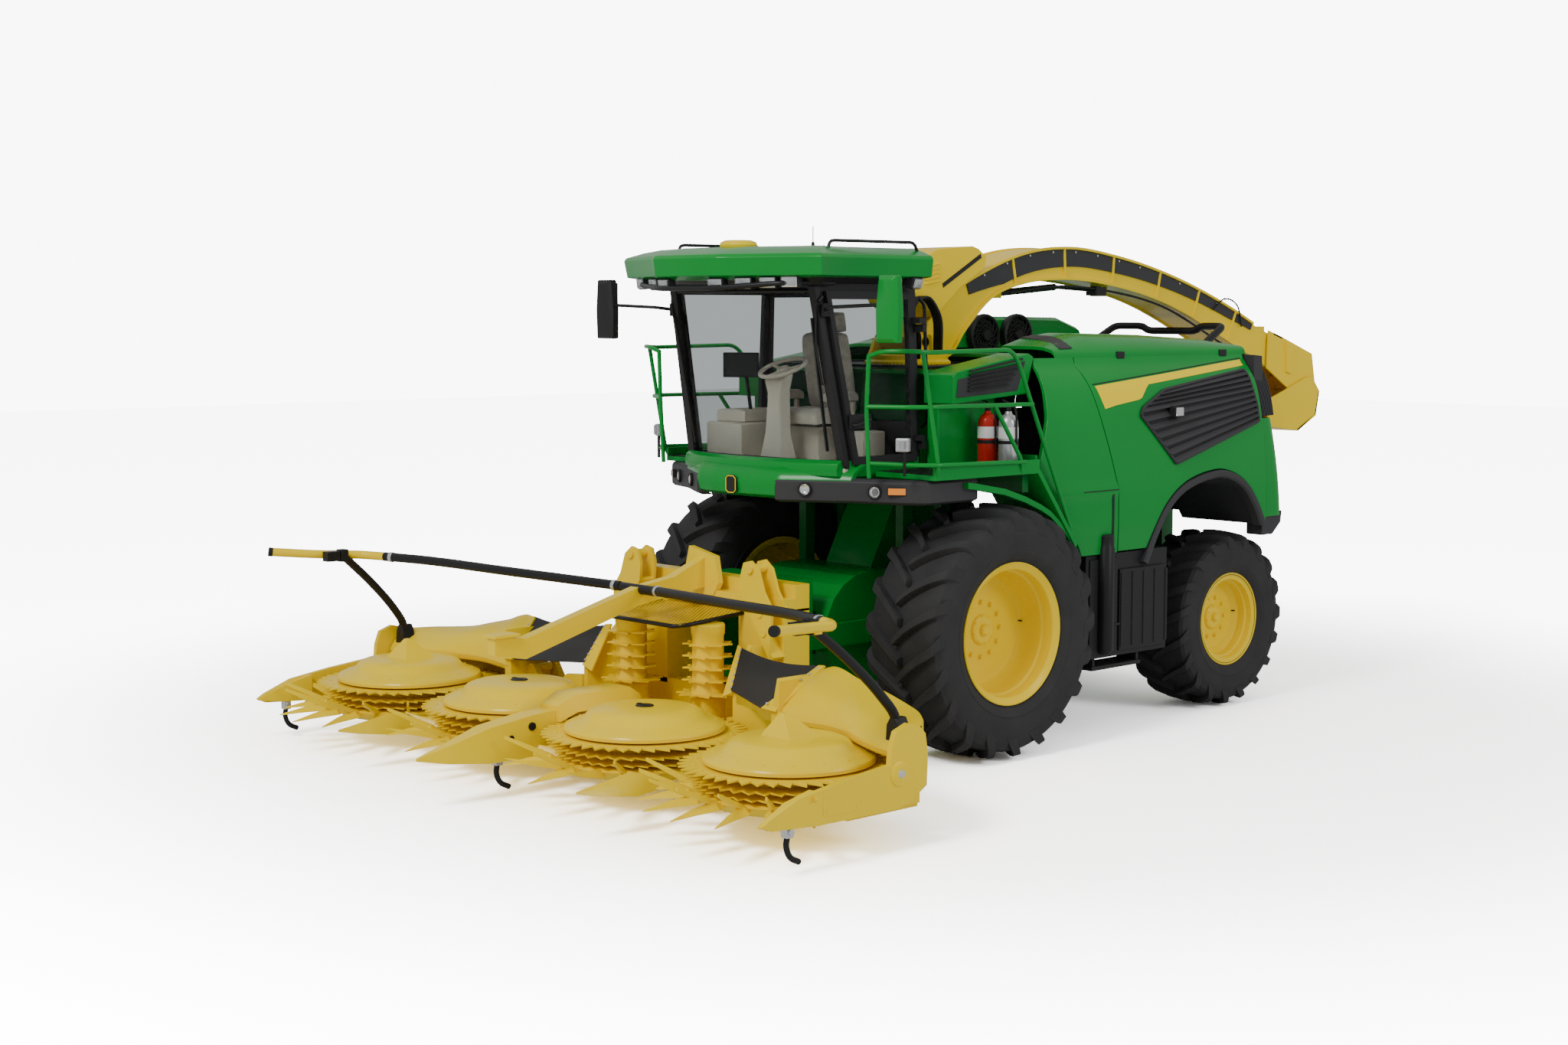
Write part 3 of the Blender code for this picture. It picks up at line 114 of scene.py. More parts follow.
def carried(path, section, up=(0, 0, 1), caps=True):
    """A closed section (a, b) carried along a path: point = path + a * side + b * rise.

    side is tangent x up, rise is side x tangent. section may be one outline or one for each path point.
    """
    path = np.array(path, float)
    tangent = np.gradient(path, axis=0)
    tangent /= np.linalg.norm(tangent, axis=1)[:, None]
    side = np.cross(tangent, np.array(up, float))
    side /= np.linalg.norm(side, axis=1)[:, None]
    rise = np.cross(side, tangent)
    section = np.array(section, float)
    if section.ndim == 2:
        section = np.tile(section, (len(path), 1, 1))
    points = path[:, None] + section[:, :, :1] * side[:, None] + section[:, :, 1:] * rise[:, None]
    p, f = grid(points, wrap_v=True)
    if caps:
        n = section.shape[1]
        last = (len(path) - 1) * n
        f += [tuple(range(n))[::-1], tuple(last + i for i in range(n))]
    return p, f


def circle(radius, sides=12):
    """Points (r cos a, r sin a) for a all the way round."""
    a = np.linspace(0, TAU, sides, endpoint=False)
    return np.stack([radius * np.cos(a), radius * np.sin(a)], axis=1)


def tube(path, radius, sides=12, up=(0, 0, 1), count=0):
    """A round tube along a path, eased through its points where a count is given."""
    path = eased(path, count) if count else np.array(path, float)
    return carried(path, circle(radius, sides), up)


def bar(start, end, radius, sides=16):
    """A straight round bar between two points."""
    start, end = np.array(start, float), np.array(end, float)
    up = (0, 0, 1) if abs((end - start)[2]) < 0.9 * np.linalg.norm(end - start) else (0, 1, 0)
    return carried(np.linspace(start, end, 2), circle(radius, sides), up)


def slab(outline, axis, low, high):
    """An outline given a thickness along one axis: (y, z) for X, (x, z) for Y, (x, y) for Z."""
    o = np.array(outline, float)
    n = len(o)
    def lay(value):
        c = np.full(n, value)
        return np.stack({"X": (c, o[:, 0], o[:, 1]), "Y": (o[:, 0], c, o[:, 1]),
                         "Z": (o[:, 0], o[:, 1], c)}[axis], 1)
    points = np.concatenate([lay(low), lay(high)])
    faces = [tuple(range(n))[::-1], tuple(range(n, 2 * n))]
    faces += [(i, (i + 1) % n, (i + 1) % n + n, i + n) for i in range(n)]
    return points, faces


def block(x, y, z):
    """The six faces between two values on each axis."""
    return slab([(x[0], y[0]), (x[1], y[0]), (x[1], y[1]), (x[0], y[1])], "Z", *z)


def lofted(rows, caps=True):
    """Outlines with equal point counts, skinned one to the next."""
    rows = np.array(rows, float)
    p, f = grid(rows, wrap_v=True)
    if caps:
        n = rows.shape[1]
        last = (len(rows) - 1) * n
        f += [tuple(range(n))[::-1], tuple(last + i for i in range(n))]
    return p, f


def snout(*rows):
    """Loft of upright trapezia, each (station, half width at its foot and head, height of its foot and head)."""
    return lofted([[(-a, y, low), (a, y, low), (b, y, high), (-b, y, high)] for y, a, b, low, high in rows])


def moved(shape, offset):
    """A shape shifted by an offset."""
    return shape[0] + np.array(offset, float), shape[1]


def spun(shape, axis, degrees, about=(0, 0, 0)):
    """A shape turned about an axis through a point."""
    turn = np.array(Matrix.Rotation(math.radians(degrees), 3, axis))
    about = np.array(about, float)
    return (shape[0] - about) @ turn.T + about, shape[1]


def mirrored(shape):
    """The same shape on the other side of the machine."""
    return shape[0] * np.array([-1, 1, 1.0]), [face[::-1] for face in shape[1]]


def sided(shape, side):
    """A left-hand shape as it is, or mirrored for the right."""
    return shape if side > 0 else mirrored(shape)


def on(side, *shapes):
    """Left-hand shapes put on one side."""
    return [sided(shape, side) for shape in shapes]


def both(shape):
    """A shape and its mirror image."""
    return [shape, mirrored(shape)]


def copies(shape, places, turns=None):
    """Copies of a shape at each place, each turned by its own 3 x 3 matrix if given."""
    p, f = shape
    places = np.array(places, float)
    n, count = len(p), len(places)
    base = np.tile(p, (count, 1, 1)) if turns is None else np.einsum("nij,kj->nki", np.array(turns), p)
    points = (base + places[:, None]).reshape(-1, 3)
    return points, [tuple(i + k * n for i in face) for k in range(count) for face in f]


def bolts(centres, direction, radius=0.012, height=0.01):
    """Hexagon heads at the centres, standing along a direction."""
    turn = np.array(Vector(direction).to_track_quat("Z", "Y").to_matrix())
    head = turned([(0, height), (radius * 0.8, height), (radius, height * 0.75), (radius, 0), (0, 0)], 6)
    return copies(head, centres, np.tile(turn, (len(centres), 1, 1)))


def at(points):
    """Stations to the machine's frame."""
    p = np.array(points, float)
    p[..., 1] -= AXLE
    return p


def sheet(points, offset):
    """A closed thin wall: a surface, the same surface moved by an offset, and a rim that joins their edges."""
    points = np.array(points, float)
    nu, nv = points.shape[:2]
    outer, faces = grid(points)
    inner, back = grid(points + np.array(offset, float))
    n = nu * nv
    faces = faces + [tuple(i + n for i in face[::-1]) for face in back]
    index = np.arange(n).reshape(nu, nv)
    rim = np.concatenate([index[:, 0], index[-1, 1:], index[-2::-1, -1], index[0, -2:0:-1]])
    after = np.roll(rim, -1)
    faces += [tuple(q) for q in np.stack([after, rim, rim + n, after + n], 1).tolist()]
    return np.concatenate([outer, inner]), faces


def piece(name, body, material, *shapes, bevel=0.0, segments=2, subdivide=0, angle=35, replaces=()):
    """A finished piece: moved to the frame, merged, faces outwards, painted, riding on its body."""
    points, faces = join(*shapes)
    mesh = bpy.data.meshes.new(name)
    mesh.from_pydata(at(points).tolist(), [], faces)
    work = bmesh.new()
    work.from_mesh(mesh)
    bmesh.ops.remove_doubles(work, verts=work.verts, dist=0.00002)
    bmesh.ops.recalc_face_normals(work, faces=work.faces)
    work.to_mesh(mesh)
    work.free()
    mesh.shade_smooth()
    mesh.set_sharp_from_angle(angle=math.radians(angle))
    mesh.materials.append(material)
    obj = bpy.data.objects.new(name, mesh)
    bpy.context.scene.collection.objects.link(obj)
    if bevel:
        edge = obj.modifiers.new("edge", "BEVEL")
        edge.width = bevel
        edge.segments = segments
        edge.limit_method = "ANGLE"
        edge.angle_limit = math.radians(angle)
        edge.harden_normals = True
    if subdivide:
        soft = obj.modifiers.new("soft", "SUBSURF")
        soft.levels = subdivide
        soft.render_levels = subdivide
    if body:
        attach(obj, body)
    if replaces:
        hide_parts(*replaces)
    return obj


# ---------------------------------------------------------------- finishes
def shader(name, colour, roughness, metallic=0.0, **sockets):
    """A Principled material with its even values set on its own sockets."""
    material = bpy.data.materials.new(name)
    material.use_nodes = True
    node = material.node_tree.nodes["Principled BSDF"]
    node.inputs["Base Color"].default_value = (*colour, 1)
    node.inputs["Roughness"].default_value = roughness
    node.inputs["Metallic"].default_value = metallic
    node.inputs["Specular IOR Level"].default_value = 0.5 if metallic else 0.22
    for key, value in sockets.items():
        node.inputs[key.replace("_", " ")].default_value = value
    return material


def noise(tree, scale, detail=3.0, stretch=(1, 1, 1)):
    """Noise on the piece's own coordinates, stretched along its axes."""
    nodes, links = tree.nodes, tree.links
    place = nodes.new("ShaderNodeTexCoord")
    mapping = nodes.new("ShaderNodeMapping")
    mapping.inputs["Scale"].default_value = stretch
    cloud = nodes.new("ShaderNodeTexNoise")
    cloud.inputs["Scale"].default_value = scale
    cloud.inputs["Detail"].default_value = detail
    links.new(place.outputs["Object"], mapping.inputs["Vector"])
    links.new(mapping.outputs["Vector"], cloud.inputs["Vector"])
    return cloud.outputs["Fac"]


def spread(tree, value, low, high):
    """A 0 to 1 value spread between two others."""
    node = tree.nodes.new("ShaderNodeMapRange")
    node.inputs["From Min"].default_value = 0.3
    node.inputs["From Max"].default_value = 0.7
    node.inputs["To Min"].default_value = low
    node.inputs["To Max"].default_value = high
    tree.links.new(value, node.inputs["Value"])
    return node.outputs["Result"]


def tinted(tree, value, dark, light):
    """A colour that runs between two tints with a value."""
    ramp = tree.nodes.new("ShaderNodeValToRGB")
    ramp.color_ramp.elements[0].position = 0.3
    ramp.color_ramp.elements[1].position = 0.7
    ramp.color_ramp.elements[0].color = (*dark, 1)
    ramp.color_ramp.elements[1].color = (*light, 1)
    tree.links.new(value, ramp.inputs["Fac"])
    return ramp.outputs["Color"]


def bumped(tree, value, strength, distance):
    """Relief from a 0 to 1 value, as deep as a distance."""
    bump = tree.nodes.new("ShaderNodeBump")
    bump.inputs["Strength"].default_value = strength
    bump.inputs["Distance"].default_value = distance
    tree.links.new(value, bump.inputs["Height"])
    tree.links.new(bump.outputs["Normal"], tree.nodes["Principled BSDF"].inputs["Normal"])


def shade(colour, factor):
    """A colour made darker or lighter."""
    return tuple(min(1.0, c * factor) for c in colour)


def worked(name, colour, roughness, metallic=0.0, vary=0.06, cloud=1.5, swing=0.06, grain=400.0, relief=0.04,
           depth=0.0004, stretch=(1, 1, 1), **sockets):
    """A finish whose tint and gloss drift slowly over the piece, with a fine relief of its own grain."""
    material = shader(name, colour, roughness, metallic, **sockets)
    tree = material.node_tree
    node = tree.nodes["Principled BSDF"]
    slow = noise(tree, cloud, 4.0)
    tree.links.new(tinted(tree, slow, shade(colour, 1 - vary), shade(colour, 1 + vary)),
                   node.inputs["Base Color"])
    tree.links.new(spread(tree, slow, roughness - swing, roughness + swing), node.inputs["Roughness"])
    bumped(tree, noise(tree, grain, 2.0, stretch), relief, depth)
    return material


def glossy_paint(name, colour, roughness=0.26):
    """Sprayed enamel: even tint, faint orange peel, a clear coat."""
    return worked(name, colour, roughness, vary=0.045, cloud=0.9, swing=0.04, grain=95.0, relief=0.06,
                  depth=0.0006, Coat_Weight=0.1, Coat_Roughness=0.05)


green = glossy_paint("green_enamel", (0.0, 0.25, 0.03))
deep_green = glossy_paint("deep_green_enamel", (0.0, 0.13, 0.02), 0.36)
yellow = glossy_paint("yellow_enamel", (0.9, 0.64, 0.0), 0.3)
stripe_yellow = shader("stripe_film", (0.95, 0.7, 0.0), 0.34)
charcoal = worked("charcoal_moulding", (0.04, 0.04, 0.043), 0.5, grain=620.0, relief=0.18, depth=0.0005)
black = worked("black_moulding", (0.018, 0.018, 0.019), 0.45, grain=620.0, relief=0.16, depth=0.0005)
black_steel = worked("black_powder_coat", (0.014, 0.014, 0.015), 0.36, grain=260.0, relief=0.1, depth=0.0004)
hose_rubber = worked("hose_rubber", (0.022, 0.022, 0.022), 0.52, grain=500.0, relief=0.2, depth=0.0004)
flap_rubber = worked("flap_rubber", (0.034, 0.034, 0.035), 0.62, vary=0.2, grain=330.0, relief=0.35,
                     depth=0.0008)
tyre_rubber = worked("tyre_rubber", (0.032, 0.032, 0.033), 0.72, vary=0.16, cloud=5.0, grain=210.0, relief=0.35,
                     depth=0.0012)
zinc = worked("zinc_plate", (0.62, 0.62, 0.6), 0.34, 1.0, vary=0.12, cloud=9.0, grain=300.0, relief=0.1)
cast = worked("cast_aluminium", (0.55, 0.55, 0.54), 0.48, 0.9, vary=0.14, cloud=14.0, grain=260.0, relief=0.35)
red_paint = glossy_paint("red_enamel", (0.5, 0.02, 0.012))
silver_paint = worked("silver_enamel", (0.6, 0.61, 0.62), 0.32, 0.7, vary=0.05)
seat_cloth = worked("seat_cloth", (0.46, 0.41, 0.34), 0.88, vary=0.1, cloud=18.0, grain=900.0, relief=0.6,
                    depth=0.001, Sheen_Weight=0.35)
cab_lining = worked("cab_lining", (0.56, 0.5, 0.41), 0.72, grain=700.0, relief=0.25)
white_label = shader("plain_label", (0.86, 0.86, 0.84), 0.45)
amber = shader("amber_lens", (0.95, 0.3, 0.03), 0.18, Coat_Weight=0.6)
red_lens = shader("red_lens", (0.6, 0.02, 0.02), 0.18, Coat_Weight=0.6)
lamp_bowl = shader("lamp_reflector", (0.88, 0.89, 0.9), 0.1, 1.0)
lamp_glass = shader("lamp_lens", (0.93, 0.95, 0.96), 0.03, Transmission_Weight=0.9, IOR=1.3)
screen = shader("monitor_glass", (0.01, 0.012, 0.015), 0.08, Coat_Weight=1.0)
mirror_glass = shader("mirror_glass", (0.8, 0.82, 0.84), 0.03, 1.0)
cab_glass = shader("cab_glass", (0.84, 0.88, 0.88), 0.0, Transmission_Weight=1.0, IOR=1.12)


for finish, slot in ((green, "green_paint"), (deep_green, "dark_green_paint"), (yellow, "yellow_paint"),
                     (stripe_yellow, "yellow_paint"), (charcoal, "charcoal"), (black, "charcoal"),
                     (black_steel, "black_tube"), (hose_rubber, "black_tube"), (flap_rubber, "charcoal"),
                     (tyre_rubber, "tyre_rubber"), (zinc, "bare_steel"), (cast, "bare_steel"),
                     (red_paint, "yellow_paint"), (silver_paint, "bare_steel"), (seat_cloth, "beige_cloth"),
                     (cab_lining, "beige_cloth"), (white_label, "bare_steel"), (amber, "clear_glass"),
                     (red_lens, "clear_glass"), (lamp_bowl, "bare_steel"), (lamp_glass, "clear_glass"),
                     (screen, "charcoal"), (mirror_glass, "bare_steel"), (cab_glass, "clear_glass")):
    finish["slot"] = slot


def grating(name, colour, pitch):
    """Expanded metal: crossed waves on the plan coordinates open diamond holes between the strands."""
    material = shader(name, colour, 0.45, 0.4)
    tree = material.node_tree
    nodes, links = tree.nodes, tree.links
    place = nodes.new("ShaderNodeTexCoord")
    both = []
    for angle in (35, -35):
        mapping = nodes.new("ShaderNodeMapping")
        mapping.inputs["Rotation"].default_value = (0, 0, math.radians(angle))
        wave = nodes.new("ShaderNodeTexWave")
        wave.inputs["Scale"].default_value = 1.0 / pitch / 3.2
        links.new(place.outputs["Object"], mapping.inputs["Vector"])
        links.new(mapping.outputs["Vector"], wave.inputs["Vector"])
        both.append(wave.outputs["Fac"])
    top = nodes.new("ShaderNodeMath")
    top.operation = "MAXIMUM"
    links.new(both[0], top.inputs[0])
    links.new(both[1], top.inputs[1])
    edge = nodes.new("ShaderNodeMath")
    edge.operation = "GREATER_THAN"
    edge.inputs[1].default_value = 0.72
    links.new(top.outputs[0], edge.inputs[0])
    links.new(edge.outputs[0], nodes["Principled BSDF"].inputs["Alpha"])
    return material


grid_plate = grating("crop_guard_grating", (0.88, 0.64, 0.012), 0.03)
deck_mesh = grating("deck_grating", (0.02, 0.02, 0.02), 0.035)
grid_plate["slot"] = "yellow_paint"
deck_mesh["slot"] = "black_tube"


# ---------------------------------------------------------------- stage and camera
def studio():
    """Pale floor and air, one broad soft light high on the camera's left and a weaker one on the right. Seen by the
    camera the floor is brightened, less near the machine: painted shade round its foot.
    """
    s = 60.0
    floor = bpy.data.meshes.new("studio_floor")
    floor.from_pydata([(-s, -s, 0), (s, -s, 0), (s, s, 0), (-s, s, 0)], [], [(0, 1, 2, 3)])
    ground = bpy.data.objects.new("studio_floor", floor)
    white = bpy.data.materials.new("studio_white")
    white.use_nodes = True
    tree = white.node_tree
    tree.nodes.clear()
    ray = tree.nodes.new("ShaderNodeLightPath")
    gain = tree.nodes.new("ShaderNodeMapRange")
    gain.inputs["To Min"].default_value = 0.75
    place = tree.nodes.new("ShaderNodeTexCoord")
    reach = tree.nodes.new("ShaderNodeVectorMath")
    reach.operation = "LENGTH"
    # Painted shade: for camera rays the floor's colour gain grows from 4.5 near the machine to 13 far off, so the floor
    # reads darker round the machine.
    floor_shade_ramp = tree.nodes.new("ShaderNodeMapRange")
    floor_shade_ramp.interpolation_type = "SMOOTHSTEP"
    for socket, value in (("From Min", 4.5), ("From Max", 11.0), ("To Min", 4.5), ("To Max", 13.0)):
        floor_shade_ramp.inputs[socket].default_value = value
    tree.links.new(place.outputs["Object"], reach.inputs[0])
    tree.links.new(reach.outputs["Value"], floor_shade_ramp.inputs["Value"])
    tree.links.new(floor_shade_ramp.outputs["Result"], gain.inputs["To Max"])
    matte = tree.nodes.new("ShaderNodeBsdfDiffuse")
    out = tree.nodes.new("ShaderNodeOutputMaterial")
    tree.links.new(ray.outputs["Is Camera Ray"], gain.inputs["Value"])
    tree.links.new(gain.outputs["Result"], matte.inputs["Color"])
    tree.links.new(matte.outputs["BSDF"], out.inputs["Surface"])
    floor.materials.append(white)
    bpy.context.scene.collection.objects.link(ground)
    world = bpy.data.worlds.new("studio_air")
    bpy.context.scene.world = world
    world.use_nodes = True
    tree = world.node_tree
    air = tree.nodes["Background"]
    air.inputs["Color"].default_value = (1, 1, 1, 1)
    ray = tree.nodes.new("ShaderNodeLightPath")
    seen = tree.nodes.new("ShaderNodeMapRange")
    seen.inputs["To Min"].default_value = 0.6
    seen.inputs["To Max"].default_value = 9.0
    tree.links.new(ray.outputs["Is Camera Ray"], seen.inputs["Value"])
    tree.links.new(seen.outputs["Result"], air.inputs["Strength"])

    def soft(name, place, aim, size, power):
        lamp = bpy.data.lights.new(name, "AREA")
        lamp.shape = "DISK"
        lamp.size = size
        lamp.energy = power
        obj = bpy.data.objects.new(name, lamp)
        obj.location = place
        obj.rotation_euler = (Vector(aim) - Vector(place)).to_track_quat("-Z", "Y").to_euler()
        bpy.context.scene.collection.objects.link(obj)
    soft("key_light", (3.0, -14.0, 12.0), (0, -1, 1.5), 5.0, 1350)
    soft("side_light", (14.0, 3.0, 8.0), (0, 0, 1.5), 5.0, 500)


def camera():
    """A long lens at eye height off the machine's front left corner."""
    turn, fall = math.radians(47.276), math.radians(5.509)
    back = Vector((math.sin(turn) * math.cos(fall), -math.cos(turn) * math.cos(fall), math.sin(fall)))
    lens = bpy.data.cameras.new("camera")
    lens.lens = 50.76
    lens.sensor_width = 36.0
    eye = bpy.data.objects.new("camera", lens)
    eye.location = (12.753, -13.52, 3.465)
    eye.rotation_euler = (-back).to_track_quat("-Z", "Y").to_euler()
    bpy.context.scene.collection.objects.link(eye)
    bpy.context.scene.camera = eye


# ---------------------------------------------------------------- wheels
def lugs(radius, half, count, height):
    """Curved tread bars, left and right in turn.

    Along a bar, s runs 0 to 1 from just past the middle to the shoulder and a little down the side wall;
    the bar trails behind its nose by lag * (1 - (1 - s)^1.6), stands height off the carcass and widens outwards.
    """
    s = np.linspace(0, 1, 11)
    line = np.array([(-0.07, 1.0), (0.2, 0.998), (0.5, 0.988), (0.78, 0.972), (0.93, 0.945), (0.985, 0.905),
                     (0.985, 0.865)])
    knots = np.linspace(0, 1, len(line))
    x = np.interp(s, knots, line[:, 0]) * half
    r = np.interp(s, knots, line[:, 1]) * (radius - height)
    dx, dr = np.gradient(x), np.gradient(r)
    size = np.hypot(dx, dr)
    out_x, out_r = -dr / size, dx / size
    tall = height * np.interp(s, [0, 0.08, 0.62, 0.85, 1.0], [0.96, 1.0, 1.0, 0.8, 0.3])
    wide = np.interp(s, [0, 0.3, 0.75, 1.0], [0.027, 0.034, 0.048, 0.06]) * radius
    lag = 0.36 * half / 0.355 * (1 - (1 - s) ** 1.6)
    # Cross-section: foot, shoulder, crown, crown, shoulder, foot, as (share of width, share of height).
    cross = np.array([(-1.3, -0.35), (-1.0, 0.86), (-0.9, 1.0), (0.9, 1.0), (1.0, 0.86), (1.3, -0.35)])
    start = TAU / count * np.arange(count)
    shapes = []
    for side in (1, -1):
        turn = start + (0 if side > 0 else TAU / count / 2)
        shift = cross[None, :, 0] * wide[:, None]
        rise = cross[None, :, 1] * tall[:, None]
        px = (x[:, None] + out_x[:, None] * rise)
        pr = (r[:, None] + out_r[:, None] * rise)
        px = np.minimum(px, half * 0.998)
        pr = np.minimum(pr, radius - 0.0005)
        angle = turn[:, None, None] - lag[None, :, None] + (shift / pr)[None]
        points = np.stack([np.broadcast_to(side * px, angle.shape), -pr * np.sin(angle), pr * np.cos(angle)],
                          -1)
        for bar_points in points:
            shapes.append(lofted(bar_points))
    return join(*shapes)


def carcass(radius, half, rim, height):
    """The tyre without its bars: a round-shouldered band from bead to bead, with two raised rings on each wall."""
    top = radius - height
    wall = [(half * 0.86, rim + 0.008), (half * 0.9, rim + 0.022), (half * 0.955, rim + 0.05),
            (half * 0.985, rim + 0.085), (half * 0.975, rim + 0.092), (half * 0.995, rim + 0.14),
            (half * 0.998, (rim + top) / 2 + 0.03), (half * 0.985, top - 0.085), (half * 0.965, top - 0.072),
            (half * 0.93, top - 0.035), (half * 0.84, top - 0.014), (half * 0.5, top - 0.005), (0.0, top)]
    line = [(r, x) for x, r in wall]
    return line + [(r, -x) for r, x in line[-2::-1]]


def tyre(name, body, centre, radius, half, rim, height, count):
    band = turned(carcass(radius, half, rim, height), 96, "X")
    seat = turned([(rim - 0.02, half * 0.86), (rim + 0.008, half * 0.86)], 96, "X")
    treads = lugs(radius, half, count, height)
    piece(name, body, tyre_rubber, moved(band, centre), moved(seat, centre),
          moved(mirrored(seat), centre), moved(treads, centre), angle=32,
          replaces=["tyre_" + body.replace("_wheel", "")])


def rim(name, body, side, centre, radius, half, offset, stub, front):
    """Dished disc wheel: rolled flange, stepped barrel, disc with wheel bolts, hub with its own ring."""
    seat = half - 0.035
    inner = radius - 0.075
    disc = offset + 0.015
    depth = seat - disc
    line = [(0.0, disc + 0.04), (stub + 0.04, disc + 0.04), (stub + 0.055, disc + 0.03),
            (stub + 0.06, disc + 0.012), (stub + 0.1, disc + 0.006), (stub + 0.13, disc), (inner - 0.1, disc),
            (inner - 0.055, disc + 0.012), (inner - 0.028, disc + 0.045), (inner - 0.012, disc + depth * 0.3),
            (inner - 0.006, disc + depth * 0.62), (inner + 0.012, disc + depth * 0.66),
            (inner + 0.018, disc + depth * 0.9), (inner + 0.036, seat - 0.02), (radius - 0.018, seat - 0.01),
            (radius - 0.008, seat), (radius, seat - 0.004), (radius, seat - 0.022),
            (radius - 0.03, seat - 0.024), (radius - 0.03, -seat + 0.024), (radius, -seat + 0.022),
            (radius, -seat + 0.002), (radius - 0.01, -seat), (inner + 0.02, -seat + 0.02), (inner, disc - 0.06),
            (inner - 0.02, disc - 0.03), (stub + 0.06, disc - 0.03), (stub + 0.005, disc - 0.03)]
    body_shape = turned(line, 96, "X")
    shapes = [body_shape]
    a = np.linspace(0, TAU, 12 if front else 10, endpoint=False)
    ring = (stub + 0.155) if front else (stub + 0.125)
    face = disc + 0.001
    shapes.append(bolts(np.stack([np.full_like(a, face), ring * np.cos(a), ring * np.sin(a)], 1), (1, 0, 0),
                        0.017, 0.026))
    b = np.linspace(0, TAU, 8, endpoint=False) + 0.2
    shapes.append(bolts(np.stack([np.full_like(b, disc + 0.031), (stub + 0.045) * np.cos(b),
                                  (stub + 0.045) * np.sin(b)], 1), (1, 0, 0), 0.009, 0.012))
    place = "rim_" + body.replace("_wheel", "")
    whole = sided(join(*shapes), side)
    piece(name, body, yellow, moved(whole, centre), angle=28, replaces=[place])
    valve = sided(tube([(disc + 0.01, inner - 0.05, 0.03), (disc + 0.05, inner - 0.045, 0.03)], 0.006, 8), side)
    nave = sided(turned([(0.0, disc + 0.072), (stub * 0.55, disc + 0.072), (stub * 0.75, disc + 0.06),
                         (stub * 0.8, disc + 0.036)], 40, "X"), side)
    piece(name + "_hub_cap", body, yellow, moved(nave, centre), angle=28)
    piece(name + "_valve", body, black, moved(valve, centre), angle=28)


def wheels():
    for word, side in SIDES:
        low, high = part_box("tyre_front_" + word)
        centre = ((low[0] + high[0]) / 2, (low[1] + high[1]) / 2 + AXLE, (low[2] + high[2]) / 2)
        half, radius = (high[0] - low[0]) / 2, (high[2] - low[2]) / 2
        tyre("front_tyre_" + word, "front_wheel_" + word, centre, radius, half, 0.553, 0.066, 20)
        rim("front_rim_" + word, "front_wheel_" + word, side, centre, 0.553, half, -0.04, 0.06, True)
        low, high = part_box("tyre_rear_" + word)
        centre = ((low[0] + high[0]) / 2, (low[1] + high[1]) / 2 + AXLE, (low[2] + high[2]) / 2)
        half, radius = (high[0] - low[0]) / 2, (high[2] - low[2]) / 2
        tyre("rear_tyre_" + word, "rear_wheel_" + word, centre, radius, half, 0.405, 0.052, 19)
        rim("rear_rim_" + word, "rear_wheel_" + word, side, centre, 0.405, half, 0.05, 0.05, False)


# ---------------------------------------------------------------- header
ROTOR_Y = -2.92
POST = 0.0712


def toothed(tip, root, count, low, high, bore, lean=0.35):
    """A flat ring of sharp teeth between a root and a tip circle; each tip lies 0.5 + lean of a pitch past its root."""
    pitch = TAU / count
    a = (pitch * np.arange(count)[:, None] + pitch * np.array([0.0, 0.5 + lean, 0.62 + lean])).ravel()
    r = np.tile([root, tip, root + 0.2 * (tip - root)], count)
    rows = []
    for radius, z in ((np.full_like(r, bore), low), (r, low), (r, high), (np.full_like(r, bore), high)):
        rows.append(np.stack([radius * np.cos(a), radius * np.sin(a), np.full_like(a, z)], 1))
    return grid(np.stack(rows, 1), wrap_u=True, wrap_v=True)


def rotor(name, x):
    """Cutting rotor: three toothed discs on a drum that turns round the fixed post."""
    drum = turned([(POST, 0.338), (0.42, 0.338), (0.45, 0.352), (0.45, 0.475), (0.6, 0.475), (0.6, 0.5),
                   (POST, 0.5)], 64, ring=True)
    knives = toothed(0.64, 0.585, 40, 0.36, 0.37, 0.44)
    rings = [toothed(0.735, 0.628, 44, 0.486, 0.498, 0.55), toothed(0.69, 0.615, 40, 0.418, 0.428, 0.44)]
    a = np.linspace(0, TAU, 20, endpoint=False)
    heads = bolts(np.stack([0.625 * np.cos(a), 0.625 * np.sin(a), np.full_like(a, 0.497)], 1), (0, 0, 1), 0.013,
                  0.008)
    whole = [moved(s, (x, ROTOR_Y, 0)) for s in (drum, *rings, knives, heads)]
    piece(name + "_discs", name, yellow, *whole, angle=30, replaces=[name])


def spear(x, degrees, length, wide=0.085, lift=0.05, tall=0.05):
    """A long pointed blade: rhombic section, widest a quarter of the way along, its tip lifted a little."""
    t = np.array([0.0, 0.14, 0.3, 0.7, 1.0])
    half = wide * np.array([0.3, 0.36, 0.55, 0.26, 0.03])
    high = tall * np.array([0.55, 0.75, 1.0, 0.52, 0.1])
    r = 0.5 + (length + 0.1) * t
    z = 0.29 + lift * t ** 2
    rows = [[(a, -b, c - h * 0.3), (a, 0, c - h * 0.4), (a, b, c - h * 0.3), (a, b * 0.55, c + h * 0.4),
             (a, 0, c + h), (a, -b * 0.55, c + h * 0.4)] for a, b, c, h in zip(r, half, z, high)]
    return moved(spun(lofted(rows), "Z", degrees), (x, ROTOR_Y, 0))


